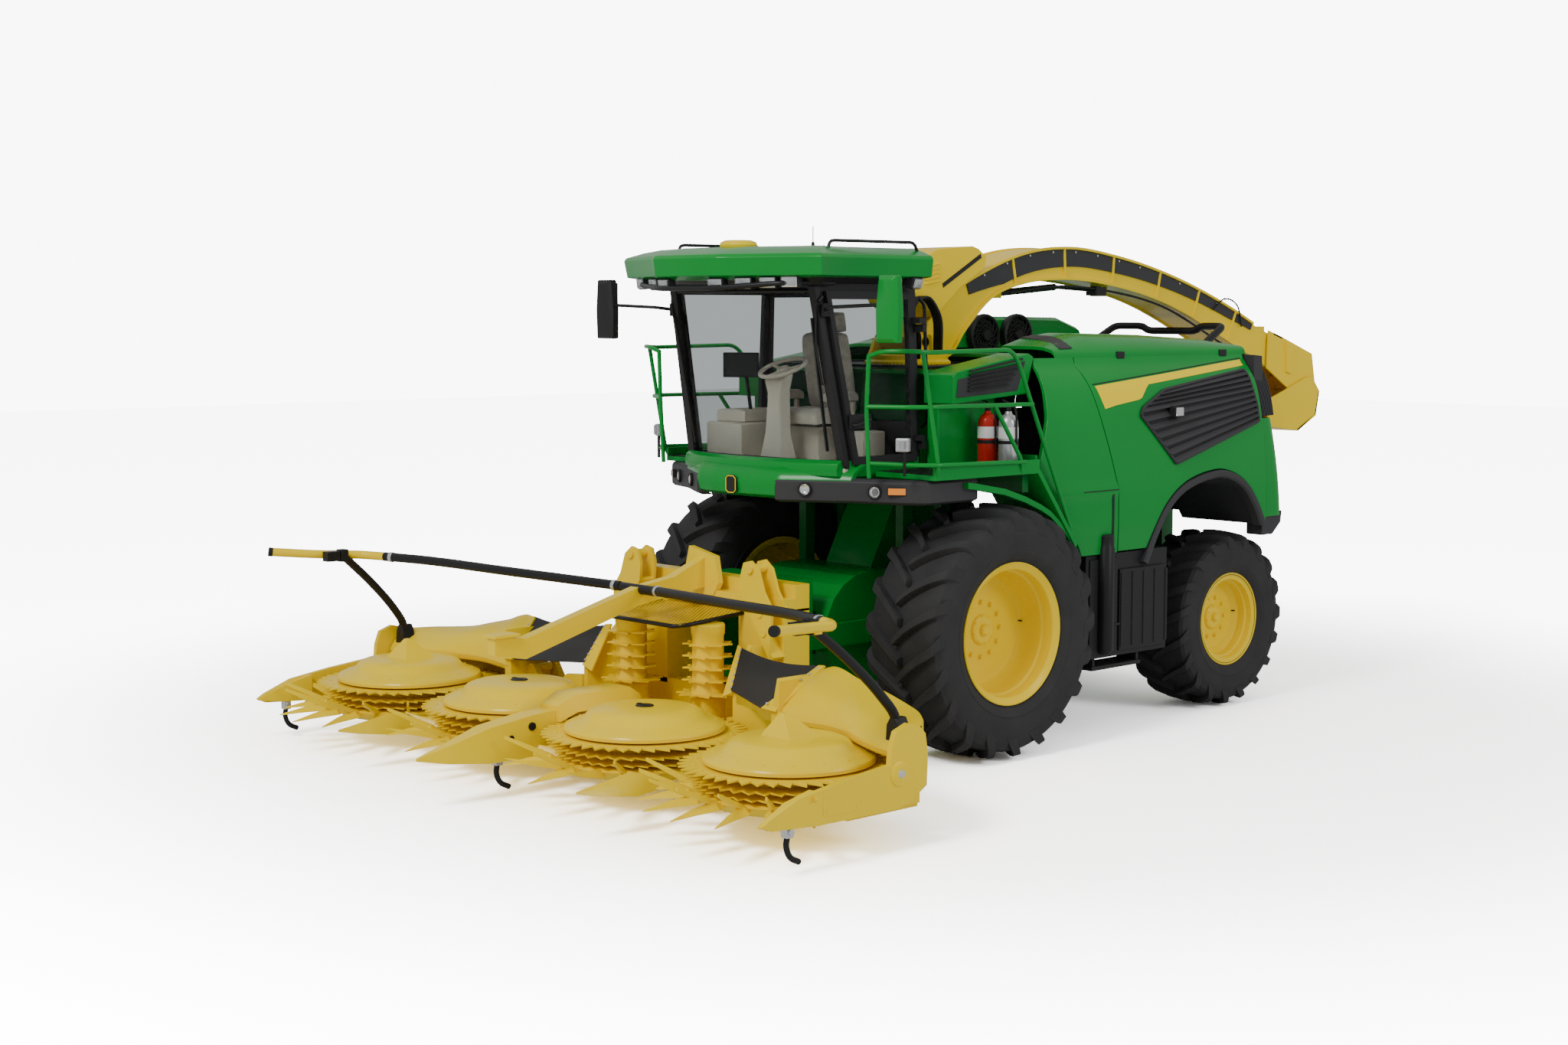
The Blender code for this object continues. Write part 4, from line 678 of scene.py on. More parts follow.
def lifter(x, degrees, length):
    """A broad arrowhead near the ground with a thin finger that rises forward from its root."""
    t = np.array([0.0, 0.22, 0.3, 0.66, 1.0])
    half = np.array([0.022, 0.03, 0.062, 0.034, 0.003])
    high = np.array([0.022, 0.028, 0.048, 0.03, 0.006])
    r = 0.52 + (length + 0.08) * t
    z = np.array([0.3, 0.3, 0.305, 0.292, 0.272])
    head = [[(a, -b, c - h * 0.25), (a, 0, c - h * 0.35), (a, b, c - h * 0.25), (a, b * 0.45, c + h * 0.5),
             (a, 0, c + h), (a, -b * 0.45, c + h * 0.5)] for a, b, c, h in zip(r, half, z, high)]
    root = 0.6 + length * 0.12
    finger = [[(a, -w, z0 - w), (a, w, z0 - w), (a, w * 0.6, z0 + w * 1.6), (a, -w * 0.6, z0 + w * 1.6)]
              for a, z0, w in ((root, 0.315, 0.017), (root + 0.13, 0.375, 0.015), (root + 0.34, 0.47, 0.009))]
    return moved(spun(join(lofted(head), lofted(finger)), "Z", degrees), (x, ROTOR_Y, 0))


def guides(x, lifters):
    """Guides fanned in front of a rotor: blades, or arrowheads with fingers, by turns of their own."""
    fan = ((-56, 0.33), (-36, 0.4), (-17, 0.44), (2, 0.45), (21, 0.44), (39, 0.4), (57, 0.33))
    shapes = []
    for k, (turn, length) in enumerate(fan):
        shapes.append(lifter(x, -90 + turn, length) if lifters or k % 2 else spear(x, -90 + turn, length, 0.075,
                0.1, 0.045))
    return shapes


def dome(x):
    """Fixed cap over a rotor: bolted brim, shoulder and shallow crown."""
    cap = turned([(0, 0.676), (0.055, 0.676), (0.09, 0.678), (0.27, 0.674), (0.355, 0.664), (0.398, 0.646),
                  (0.432, 0.606), (0.452, 0.594), (0.535, 0.566), (0.566, 0.552), (0.574, 0.538),
                  (0.572, 0.516), (0.56, 0.512), (POST, 0.512), (0.07, 0.27), (0, 0.27)], 96)
    a = np.linspace(0, TAU, 16, endpoint=False) + 0.1
    heads = bolts(np.stack([0.5 * np.cos(a), 0.5 * np.sin(a), np.full_like(a, 0.573)], 1), (0, 0, 1), 0.012,
                  0.008)
    return [moved(cap, (x, ROTOR_Y, 0)), moved(heads, (x, ROTOR_Y, 0))]


def saucer(x):
    return moved(turned([(0, 0.33), (0.6, 0.33), (0.622, 0.318), (0.6, 0.285), (0.555, 0.252), (0, 0.25)], 72),
                 (x, ROTOR_Y, 0))


def pyramid(x):
    """The four-sided cone plate on an outer dome, with a folded foot."""
    foot = [(-0.19, 0.16, 0.652), (-0.17, -0.15, 0.655), (0.17, -0.15, 0.655), (0.19, 0.16, 0.652)]
    rows = [[(a, b, c - 0.02) for a, b, c in foot], foot,
            [(a * 0.86, b * 0.86 + 0.004, 0.672) for a, b, c in foot],
            [(a * 0.11 - 0.02, b * 0.11 - 0.03, 0.83) for a, b, c in foot]]
    return moved(lofted(rows), (x, ROTOR_Y, 0))


def feeler(x, y, z):
    """Ground feeler under a divider: a pale clamp, a round leg and a bent black shoe."""
    clamp = [block((x - 0.028, x + 0.028), (y - 0.03, y + 0.03), (z - 0.1, z + 0.03)),
             bar((x - 0.045, y, z - 0.06), (x + 0.045, y, z - 0.06), 0.022)]
    shoe = tube([(x, y, z - 0.08), (x, y - 0.01, z - 0.16), (x, y + 0.02, z - 0.225), (x, y + 0.1, z - 0.27)],
                0.02, 12, up=(1, 0, 0), count=14)
    return clamp, shoe


def hook(side):
    """Coupling hook: a leaning plate box with two lightening holes and a rolled nose."""
    outline = [(0.6, 1.36), (0.9, 0.9), (0.93, 1.28), (0.84, 1.4), (0.78, 1.56), (0.7, 1.62), (0.62, 1.6),
               (0.585, 1.5)]
    plate = [slab(outline, "Y", -1.87, -1.845), slab(outline, "Y", -1.73, -1.705)]
    web = slab([(0.6, 1.36), (0.9, 0.9), (0.925, 0.92), (0.625, 1.38)], "Y", -1.85, -1.72)
    nose = bar((0.7, -1.89, 1.56), (0.7, -1.69, 1.56), 0.035)
    collar = [bar((x, -1.88, z), (x, -1.86, z), 0.032) for x, z in ((0.8, 1.24), (0.84, 1.1))]
    return [sided(s, side) for s in (*plate, web, nose, *collar)]


def feed_drum(word, side):
    """Upright drum with a smooth neck and four saw-edged flights."""
    core = turned([(0.0308, 0.62), (0.125, 0.63), (0.125, 0.66), (0.118, 0.68), (0.118, 1.06), (0.126, 1.08),
                   (0.128, 1.14), (0.12, 1.152), (0, 1.152), (0, 1.1), (0.0308, 1.1)], 40)
    flights = [toothed(tip, root, count, z, z + 0.012, 0.08, 0.3) for tip, root, count,
               z in ((0.24, 0.17, 11, 0.625), (0.195, 0.142, 9, 0.725), (0.19, 0.14, 9, 0.815),
                     (0.19, 0.14, 9, 0.905), (0.19, 0.14, 9, 0.995))]
    body = "feed_drum_" + word
    place = (side * DRUM[0], *DRUM[1:])
    piece(body + "_flights", body, yellow, *[moved(s, place) for s in (core, *flights)], replaces=[body])


def centre_header():
    """The middle of the header: floor, frame ring, domes, centre divider, arm, hooks and guards."""
    body = "header"
    shapes = [block((-1.49, 1.49), (-3.1, -2.2), (0.256, 0.324)),
              block((-0.8, 0.8), (-2.3, -1.4803), (0.253, 0.327)),
              snout((-2.42, 0.1, 0.08, 0.58, 0.62), (-2.55, 0.15, 0.12, 0.575, 0.69),
                    (-3.05, 0.15, 0.12, 0.565, 0.69), (-3.2, 0.13, 0.1, 0.505, 0.62)),
              snout((-3.1, 0.085, 0.075, 0.5, 0.575), (-3.22, 0.1, 0.085, 0.3, 0.59),
                    (-3.4, 0.1, 0.085, 0.28, 0.58), (-3.78, 0.095, 0.08, 0.28, 0.53),
                    (-4.1, 0.06, 0.045, 0.315, 0.44), (-4.335, 0.014, 0.01, 0.358, 0.378)),
              block((-0.92, 0.92), (-1.74, -1.62), (0.3, 0.6)),
              block((-0.92, 0.92), (-1.74, -1.62), (1.22, 1.34)),
              block((-0.92, 0.92), (-1.62, -1.4803), (0.3, 0.56)),
              block((-0.92, 0.92), (-1.62, -1.4803), (1.24, 1.44)),
              slab([(-1.71, 1.6), (-2.05, 1.46), (-2.4, 1.41), (-3.43, 1.13), (-3.7, 1.17), (-3.7, 1.03),
                    (-3.43, 0.98), (-2.4, 1.27), (-2.0, 1.33), (-1.71, 1.36)], "X", -0.045, 0.045),
              slab([(-0.14, 1.66), (0.16, 1.6), (0.2, 1.4), (0.14, 1.3), (-0.14, 1.3), (-0.2, 1.44)], "Y",
                   -1.75, -1.7), block((-0.075, 0.075), (-3.72, -3.5), (1.155, 1.175))]
    for side in (1, -1):
        shapes += [saucer(side * 0.75), *dome(side * 0.75), *guides(side * 0.75, False), *hook(side)]
        shapes += [sided(s, side) for s in (block((0.42, 0.92), (-1.74, -1.4803), (0.56, 1.26)),
                                            turned([(0, 0.62), (0.115, 0.62), (0.13, 0.6), (0.13, 0.3),
                                                    (0, 0.3)], 32, centre=DRUM),
                                            block((0.77, 1.44), (-2.17, -2.02), (0.259, 0.5)),
                                            slab([(1.3, 0.28), (1.488, 0.28), (1.488, 0.36), (1.535, 0.54),
                                                  (1.535, 0.62), (1.5, 0.645), (1.46, 0.64), (1.3, 0.42)], "Y",
                                                 -2.27, -2.22),
                                            slab([(1.3, 0.28), (1.488, 0.28), (1.488, 0.36), (1.535, 0.54),
                                                  (1.535, 0.62), (1.5, 0.645), (1.46, 0.64), (1.3, 0.42)], "Y",
                                                 -2.06, -2.01),
                                            lofted([[(0.84, -1.71, 0.29), (0.88, -1.71, 0.29),
                                                     (0.88, -1.71, 0.99), (0.84, -1.71, 0.99)],
                                                    [(0.76, -1.95, 0.29), (0.8, -1.95, 0.29),
                                                     (0.8, -1.95, 1.01), (0.76, -1.95, 1.01)],
                                                    [(0.86, -2.19, 0.29), (0.9, -2.19, 0.29),
                                                     (0.9, -2.19, 0.72), (0.86, -2.19, 0.72)]]),
                                            slab([(1.47, 0.285), (1.47, 0.32), (1.1, 0.6), (0.9, 0.62),
                                                  (0.9, 0.285)], "Y", -2.21, -2.18),
                                            spear(1.455, -90, 0.55, 0.16, 0.04, 0.12))]
    piece("header_centre_body", body, yellow, *shapes, bevel=0.006, angle=32, replaces=["header_centre"])
    cap = turned([(0, 0.684), (0.06, 0.684), (0.066, 0.68), (0.066, 0.67), (0, 0.67)], 40)
    slots = [block((-0.075, 0.075), (-0.016, 0.016), (0.68, 0.688))]
    piece("dome_caps", body, black, *[moved(s, (x, ROTOR_Y, 0)) for s in (cap, *slots) for x in (0.75, -0.75)])
    clamp, shoe = feeler(0, -3.66, 0.34)
    piece("feeler_centre_clamp", body, silver_paint, *clamp, bevel=0.004)
    pivot = [bar((-0.1, y, z), (0.1, y, z), r) for y, z, r in ((-3.42, 0.5, 0.03), (-3.6, 0.44, 0.018))]
    grid_frame = [tube([(-0.47, -1.72, 1.2), (-0.47, -2.28, 1.16), (-0.4, -2.36, 1.15), (0.4, -2.36, 1.15),
                        (0.47, -2.28, 1.16), (0.47, -1.72, 1.2)], 0.016, 10)]
    piece("feeler_centre_shoe", body, black_steel, shoe, *pivot, *grid_frame,
          bar((-0.19, -2.37, 1.39), (0.19, -2.37, 1.39), 0.037), angle=40)
    x, y = np.meshgrid(np.linspace(-0.46, 0.46, 2), np.linspace(-2.34, -1.72, 2), indexing="ij")
    mesh_plate = sheet(np.stack([x, y, 1.165 + 0.05 * (y + 2.34) / 0.62], -1), (0, 0, -0.004))
    piece("crop_guard_mesh", body, grid_plate, mesh_plate)


def shield():
    """Humped shield behind an outer rotor: ruled from a rolled front lip up to a ridge, then down its back.

    With v from 0 at the lip to 1 at the ridge, y runs evenly and z rises by sin(v * pi / 2) ^ 0.85.
    """
    lip = eased([(1.585, -2.43, 0.655), (1.8, -2.4, 0.662), (2.05, -2.385, 0.668), (2.25, -2.44, 0.672),
                 (2.45, -2.535, 0.672), (2.65, -2.61, 0.668), (2.82, -2.64, 0.655), (2.975, -2.63, 0.64)], 45)
    ridge = eased([(1.585, -2.062, 0.9), (1.78, -2.062, 0.985), (2.05, -2.062, 0.925), (2.31, -2.066, 0.87),
                   (2.53, -2.095, 0.822), (2.7, -2.17, 0.806), (2.85, -2.29, 0.8), (2.975, -2.43, 0.79)], 45)
    v = np.linspace(0, 1, 12)[None, :, None]
    slope = lip[:, None] + (ridge - lip)[:, None] * v
    slope[..., 2] = lip[:, None, 2] + (ridge - lip)[:, None, 2] * np.sin(v[..., 0] * math.pi / 2) ** 0.85
    rows = [lip + (0, 0.03, -0.06), lip + (0, 0.004, -0.052), lip + (0, -0.006, -0.02),
            *np.moveaxis(slope, 1, 0), ridge + (0, 0.01, -0.015),
            np.stack([ridge[:, 0], ridge[:, 1] + 0.012, np.full(45, 0.4)], 1)]
    return sheet(np.stack(rows, 1), (0, 0.008, -0.01))


def wing(word, side):
    """A folding wing: floor, dome with its cone plate, humped rear shield, outer divider and the bar's strut."""
    body = "wing_" + word
    outer = [(-2.43, 0.4), (-2.422, 0.6), (-2.445, 0.74), (-2.51, 0.805), (-2.6, 0.825), (-2.715, 0.785),
             (-2.755, 0.68), (-2.765, 0.575), (-3.2, 0.53), (-3.56, 0.478), (-3.8, 0.385), (-3.87, 0.345),
             (-3.8, 0.312), (-3.4, 0.285), (-2.72, 0.28), (-2.6, 0.3)]
    tip = [[(2.95, -3.4, 0.3), (3.028, -3.4, 0.3), (3.028, -3.4, 0.5), (2.95, -3.4, 0.5)],
           [(2.955, -3.62, 0.305), (3.028, -3.62, 0.305), (3.028, -3.62, 0.45), (2.955, -3.62, 0.45)],
           [(2.99, -3.862, 0.335), (3.026, -3.862, 0.335), (3.026, -3.862, 0.352), (2.99, -3.862, 0.352)]]
    shapes = [block((1.512, 2.98), (-3.1, -2.46), (0.256, 0.324)),
              block((1.512, 2.45), (-2.47, -2.18), (0.256, 0.324)), saucer(2.25), *dome(2.25), pyramid(2.25),
              *guides(2.25, True), block((1.56, 2.45), (-2.205, -2.05), (0.259, 0.46)), shield(),
              slab([(1.53, 0.4), (1.54, 0.66), (1.6, 0.92), (1.62, 0.9), (1.62, 0.4)], "Y", -2.43, -2.06),
              slab(outer, "X", 2.992, 3.035), lofted(tip), block((1.53, 1.62), (-2.21, -2.07), (0.28, 0.56)),
              bar((1.5, -2.21, 0.6), (1.5, -2.07, 0.6), 0.036),
              block((2.9, 3.0), (-3.05, -2.46), (0.283, 0.36)),
              slab([(1.505, 0.635), (1.475, 0.59), (1.53, 0.45), (1.62, 0.5)], "Y", -2.21, -2.07),
              slab([(-3.36, 0.335), (-3.36, 0.49), (-3.04, 0.515), (-3.04, 0.335)], "X", 3.034, 3.038),
              bolts([(3.038, y, z) for y, z in ((-3.33, 0.46), (-3.33, 0.37), (-3.07, 0.48), (-3.07, 0.37))],
                    (1, 0, 0), 0.009, 0.005), turned([(0, 3.05), (0.07, 3.05), (0.084, 3.042), (0.088, 3.02),
                                                      (0.088, 2.995), (0, 2.995)], 40, "X", (0, -2.68, 0.51))]
    piece(body + "_body", body, yellow, *on(side, *shapes), bevel=0.006, angle=32, replaces=[body])
    clamp, shoe = feeler(2.99, -3.62, 0.34)
    pin = turned([(0, 3.06), (0.022, 3.06), (0.026, 3.054), (0.03, 3.048), (0, 3.048)], 24, "X",
                 (0, -2.68, 0.51))
    piece("feeler_clamp_" + word, body, silver_paint, *on(side, *clamp, pin), bevel=0.003)
    strut = tube([(2.885, -2.545, 0.74), (2.875, -2.575, 0.86), (2.855, -2.665, 0.98), (2.815, -2.9, 1.22),
                  (2.762, -3.2, 1.475)], 0.033, 16, count=26)
    head = block((2.72, 2.8), (-3.245, -3.175), (1.43, 1.53))
    foot = slab([(2.82, 0.66), (2.95, 0.66), (2.93, 0.79), (2.905, 0.84), (2.86, 0.84), (2.83, 0.79)], "Y",
                -2.6, -2.49)
    piece("strut_" + word, body, black_steel, *on(side, shoe, strut, head, foot), bevel=0.006, angle=40)


def push_bar(word, side):
    """The stalk bar: a long black tube with bright collars, an elbow and a yellow forward end with a black plug."""
    body = "push_bar_" + word
    long = tube([(0.2, -2.375, 1.395), (1.3, -2.61, 1.428), (2.3, -2.822, 1.457), (2.58, -2.925, 1.463)], 0.037,
                16, count=16)
    lug = block((2.72, 2.8), (-3.37, -3.255), (1.44, 1.52))
    plug = tube([(2.985, -3.715, 1.525), (3.0, -3.745, 1.53)], 0.037, 16)
    piece(body + "_tube", body, black_steel, *on(side, long, lug, plug), bevel=0.003, angle=40, replaces=[body])
    collars = [tube([(0.24, -2.384, 1.396), (0.27, -2.39, 1.397)], 0.041, 16),
               tube([(2.5, -2.895, 1.461), (2.53, -2.906, 1.462)], 0.041, 16)]
    piece(body + "_collars", body, silver_paint, *on(side, *collars), bevel=0.002, angle=40)
    end = tube([(2.57, -2.92, 1.463), (2.7, -2.975, 1.466), (2.775, -3.05, 1.472), (2.8, -3.17, 1.48),
                (2.845, -3.35, 1.492), (2.99, -3.725, 1.527)], 0.035, 16, count=28)
    ears = block((2.745, 2.815), (-3.22, -3.16), (1.435, 1.5))
    piece(body + "_end", body, yellow, sided(end, side), sided(ears, side), angle=40)


def flap(word, side):
    """Rubber apron over the gap at the fold: a sheet ruled between its upper and lower edge, sagging a little."""
    u = np.linspace(0, 1, 25)[:, None, None]
    v = np.linspace(0, 1, 9)[None, :, None]
    low = np.array([0.86, -2.21, 0.72]) * (1 - u) + np.array([1.46, -2.46, 0.7]) * u
    high = np.array([0.79, -2.045, 1.005]) * (1 - u) + np.array([1.71, -2.075, 0.985]) * u
    points = low * (1 - v) + high * v
    points[..., 2] -= 0.04 * (np.sin(u * math.pi) * np.sin(v * math.pi * 0.6))[..., 0]
    points[..., 1] -= 0.03 * (np.sin(u * math.pi) * v)[..., 0]
    obj = piece("flap_" + word, None, flap_rubber, sided(sheet(points, (0, 0.004, -0.006)), side), angle=50)
    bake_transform(obj)
    t = np.linspace(0.06, 0.94, 7)[:, None]
    near = np.array([0.8, -2.05, 1.005]) * (1 - t) + np.array([0.868, -2.213, 0.722]) * t
    strip = lofted([[(0.745, -2.035, 1.02), (0.805, -2.055, 1.012), (0.8, -2.045, 1.0), (0.742, -2.025, 1.008)],
                    [(0.775, -2.215, 0.66), (0.88, -2.225, 0.7), (0.878, -2.213, 0.692),
                     (0.775, -2.203, 0.652)]])
    piece("flap_rail_" + word, "header", yellow, sided(strip, side), bevel=0.002)
    piece("flap_rivets_" + word, "header", zinc, sided(bolts(near, (0, -0.9, 0.4), 0.011, 0.007), side))
    far = np.array([1.695, -2.09, 0.975]) * (1 - t) + np.array([1.5, -2.46, 0.712]) * t
    edge = lofted([[(1.665, -2.095, 0.985), (1.735, -2.105, 0.992), (1.735, -2.09, 0.98),
                    (1.665, -2.08, 0.972)], [(1.475, -2.472, 0.702), (1.6, -2.455, 0.69), (1.6, -2.44, 0.678),
                                             (1.478, -2.457, 0.69)]])
    piece("flap_edge_" + word, "wing_" + word, yellow, sided(edge, side), bevel=0.002)
    piece("flap_edge_rivets_" + word, "wing_" + word, zinc,
          sided(bolts(far + (0, -0.006, 0.006), (0.1, -0.75, 0.6), 0.011, 0.007), side))


def header():
    centre_header()
    for word, side in SIDES:
        for which, x in ROTORS:
            rotor("rotor_" + which + "_" + word, side * x)
        feed_drum(word, side)
        wing(word, side)
        push_bar(word, side)
        flap(word, side)


# ---------------------------------------------------------------- body
FLANK = eased([(1.5, 1.5), (1.508, 1.76), (1.502, 2.02), (1.48, 2.28), (1.45, 2.5), (1.412, 2.7), (1.37, 2.84),
               (1.305, 2.95), (1.24, 3.03), (1.222, 3.08)], 60)
ARCH = np.array([(1.74, 1.4), (1.87, 1.63), (2.05, 1.86), (2.24, 1.99), (2.45, 2.06), (2.62, 2.09), (2.8, 2.1),
                 (2.98, 2.06), (3.15, 1.97), (3.3, 1.81), (3.42, 1.62)])


def flank(z):
    """How far out the body side stands at a height."""
    return np.interp(z, FLANK[:, 1], FLANK[:, 0])


def on_flank(y, z, out=0.0):
    """Points on the body side at stations y and heights z, moved out."""
    return np.stack([flank(z) + out, y, z], -1)


def quad_patch(front, rear, nu, nv, out=0.0):
    """A patch of the body side ruled between a front and a rear edge, both lines of (y, z) that run upwards."""
    v = np.linspace(0, 1, nv)
    def along(edge):
        e = np.array(edge, float)
        t = np.concatenate([[0], np.cumsum(np.linalg.norm(np.diff(e, axis=0), axis=1))])
        return np.stack([np.interp(v * t[-1], t, e[:, i]) for i in (0, 1)], 1)
    a, b = along(front), along(rear)
    u = np.linspace(0, 1, nu)[:, None]
    return on_flank(a[:, 0] * (1 - u) + b[:, 0] * u, a[:, 1] * (1 - u) + b[:, 1] * u, out)


SHOULDER, SEAM_TOP = 2.02, 2.98   # heights between which the seam leans forward
SEAM_FOOT, SEAM_LEAN = 1.41, 0.264
DOOR_REAR, SIDE_TOP = 3.44, 3.078


def seam(z):
    """Station of the seam between the front panel and the service door at a height."""
    return SEAM_FOOT - SEAM_LEAN * (np.clip(z, SHOULDER, SEAM_TOP) - SHOULDER)


def front_side(word, side):
    """Panel ahead of the seam: its front edge bulges forward at the walkway, with a crease along the shoulder."""
    v = np.linspace(0, 1, 40)[None, :]
    u = np.linspace(0, 1, 18)[:, None]
    z = 1.502 + (SIDE_TOP - 1.502) * v + 0 * u
    front = np.interp(z, [1.5, 1.61, 1.87, 2.24, 2.6, 3.08], [0.96, 0.9, 0.7, 0.45, 0.6, 0.66])
    y = front + (seam(z) - 0.006 - front) * u
    skin = on_flank(y, z)
    skin[..., 0] += 0.012 * np.exp(-((z - SHOULDER) / 0.05) ** 2)
    body, name = "machine", "front_side_panel_" + word
    piece(name + "_skin", body, green, sided(sheet(skin, (-0.036, 0, 0)), side), bevel=0.006, angle=50,
          replaces=[name])
    # Painted shade: a thin black strip along the shoulder crease stands for the shade in its groove.
    crease_shade_strip = quad_patch([(0.96, 2.012), (0.96, 2.02)], [(1.4, 2.012), (1.4, 2.02)], 8, 2, 0.0135)
    grip = carried([(flank(2.1) + 0.004, 1.335, 1.6), (flank(2.1) + 0.004, 1.335, 1.98)],
                   [(-0.012, -0.012), (0.02, -0.012), (0.024, 0.0), (0.02, 0.012), (-0.012, 0.012)],
                   up=(0, 1, 0))
    piece("panel_grip_" + word, body, black, sided(sheet(crease_shade_strip, (-0.003, 0, 0)), side), sided(grip, side),
          bevel=0.004)


def service_door(word, side):
    """Gull-wing door: flank skin whose foot follows the wheel arch, with the stripe and the slatted air intake."""
    body = name = "service_door_" + word
    u = np.linspace(0, 1, 56)[:, None]
    v = np.linspace(0, 1, 34)[None, :]
    edge = offset_arch(0.014)
    y_foot = 1.412 + (DOOR_REAR - 1.412) * u
    foot = np.where(y_foot < edge[0, 0], 1.512, np.interp(y_foot, edge[:, 0], edge[:, 1]))
    foot = np.maximum(foot, 1.512)
    z = foot + (SIDE_TOP - foot) * v
    front = seam(z) + 0.002
    y = front + (DOOR_REAR - front) * u
    skin = on_flank(y, z)
    piece(name + "_skin", body, green, sided(sheet(skin, (-0.036, 0, 0)), side), bevel=0.006, angle=50,
          replaces=[name])
    t = np.linspace(0, 1, 50)[:, None]
    w = np.linspace(0, 1, 7)[None, :]
    y = 1.255 + 2.12 * t + 0.07 * (1 - w) * np.clip(1 - t / 0.1, 0, 1)
    top = 2.85 + 0.18 * t
    deep = np.interp(t, [0, 0.26, 0.32, 1.0], [0.185, 0.165, 0.06, 0.05])
    z = top - deep * (1 - w)
    piece("stripe_" + word, body, stripe_yellow, sided(sheet(on_flank(y, z, 0.0022), (-0.0015, 0, 0)), side))
    inner = [(1.225, 2.862), (3.4, 3.043)]
    rim_line = np.array([(y, np.interp(y, [p[0] for p in inner], [p[1] for p in inner]))
                         for y in np.linspace(1.235, 3.38, 40)])
    trim = on_flank(rim_line[:, 0], rim_line[:, 1], 0.003)
    piece("stripe_edge_" + word, body, black, sided(tube(trim, 0.004, 8), side))
    front = [(2.17, 2.19), (1.76, 2.6), (1.8, 2.66), (2.12, 2.8)]
    rear = [(3.37, 2.5), (3.37, 2.62), (3.34, 2.9), (3.33, 2.945)]
    back = quad_patch(front, rear, 24, 20, 0.002)
    piece("intake_back_" + word, body, black, sided(sheet(back, (-0.004, 0, 0)), side))
    slats = []
    full = quad_patch(front, rear, 24, 121, 0.004)
    for k in range(10):
        rows = full[:, 12 * k + 1:12 * k + 9]
        lip = np.linspace(0.03, 0.006, rows.shape[1])[None, :, None] * np.array([1.0, 0, 0])
        slats.append(sheet(rows + lip, (-0.008, 0, -0.004)))
    piece("intake_slats_" + word, body, charcoal, *on(side, *slats), bevel=0.002)
    line = filleted([(*p, 0) for p in [*front, *rear[::-1], front[0], front[1]]], 0.03)
    piece("intake_rim_" + word, body, charcoal, sided(tube(on_flank(line[:, 0], line[:, 1], 0.012), 0.014, 8),
                                                      side))
    lamp = block((0.0, 0.07), (-0.06, 0.06), (-0.045, 0.045))
    place = (flank(2.6) + 0.015, 2.18, 2.62)
    piece("service_lamp_" + word, body, black, sided(moved(lamp, place), side), bevel=0.012)
    face = block((0.066, 0.074), (-0.048, 0.048), (-0.034, 0.034))
    piece("service_lamp_lens_" + word, body, lamp_bowl, sided(moved(face, place), side), bevel=0.004)


def offset_arch(out):
    """The wheel arch line moved away from the wheel."""
    line = eased(ARCH, 50)
    d = np.gradient(line, axis=0)
    d /= np.linalg.norm(d, axis=1)[:, None]
    return line + out * np.stack([-d[:, 1], d[:, 0]], 1)


def wheel_arch(word, side):
    """Moulded lip that frames the rear wheel opening."""
    line = offset_arch(-0.03)
    path = np.stack([np.full(len(line), 1.478), line[:, 0], line[:, 1]], 1)
    lip = carried(path, [(-0.036, -0.055), (-0.036, 0.035), (-0.022, 0.05), (0.014, 0.046), (0.03, 0.026),
                         (0.03, -0.055)], up=(1, 0, 0))
    piece("arch_lip_" + word, "machine", charcoal, sided(lip, side), bevel=0.004)


def side_tank(word, side):
    """Tank box with a bevelled cover, strap lines and, on the left, the boarding step and filter can."""
    name = "side_tank_" + word
    shapes = [block((0.8, 1.468), (1.05, 2.1), (0.65, 1.498)),
              block((1.468, 1.482), (1.09, 1.44), (0.69, 1.46)),
              block((1.468, 1.488), (1.46, 2.06), (0.69, 1.36))]
    shapes += [block((1.46, 1.496), (1.47 + 0.145 * k, 1.5 + 0.145 * k), (0.72, 1.33)) for k in range(5)]
    can = turned([(0, 1.66), (0.055, 1.66), (0.066, 1.645), (0.066, 1.56), (0.072, 1.55), (0.072, 0.72),
                  (0.05, 0.69), (0, 0.69)], 32, centre=(1.5, 1.26, 0))
    if side > 0:
        shapes += [block((1.22, 1.46), (1.15, 1.78), (0.55, 0.585)),
                   block((1.24, 1.45), (1.17, 1.2), (0.56, 0.7)),
                   block((1.24, 1.45), (1.73, 1.76), (0.56, 0.7)),
                   block((1.3, 1.49), (1.2, 1.74), (0.9, 0.925))]
    piece(name + "_box", "machine", black, *on(side, *shapes), bevel=0.012, replaces=[name])
    piece(name + "_can", "machine", black_steel, sided(can, side))


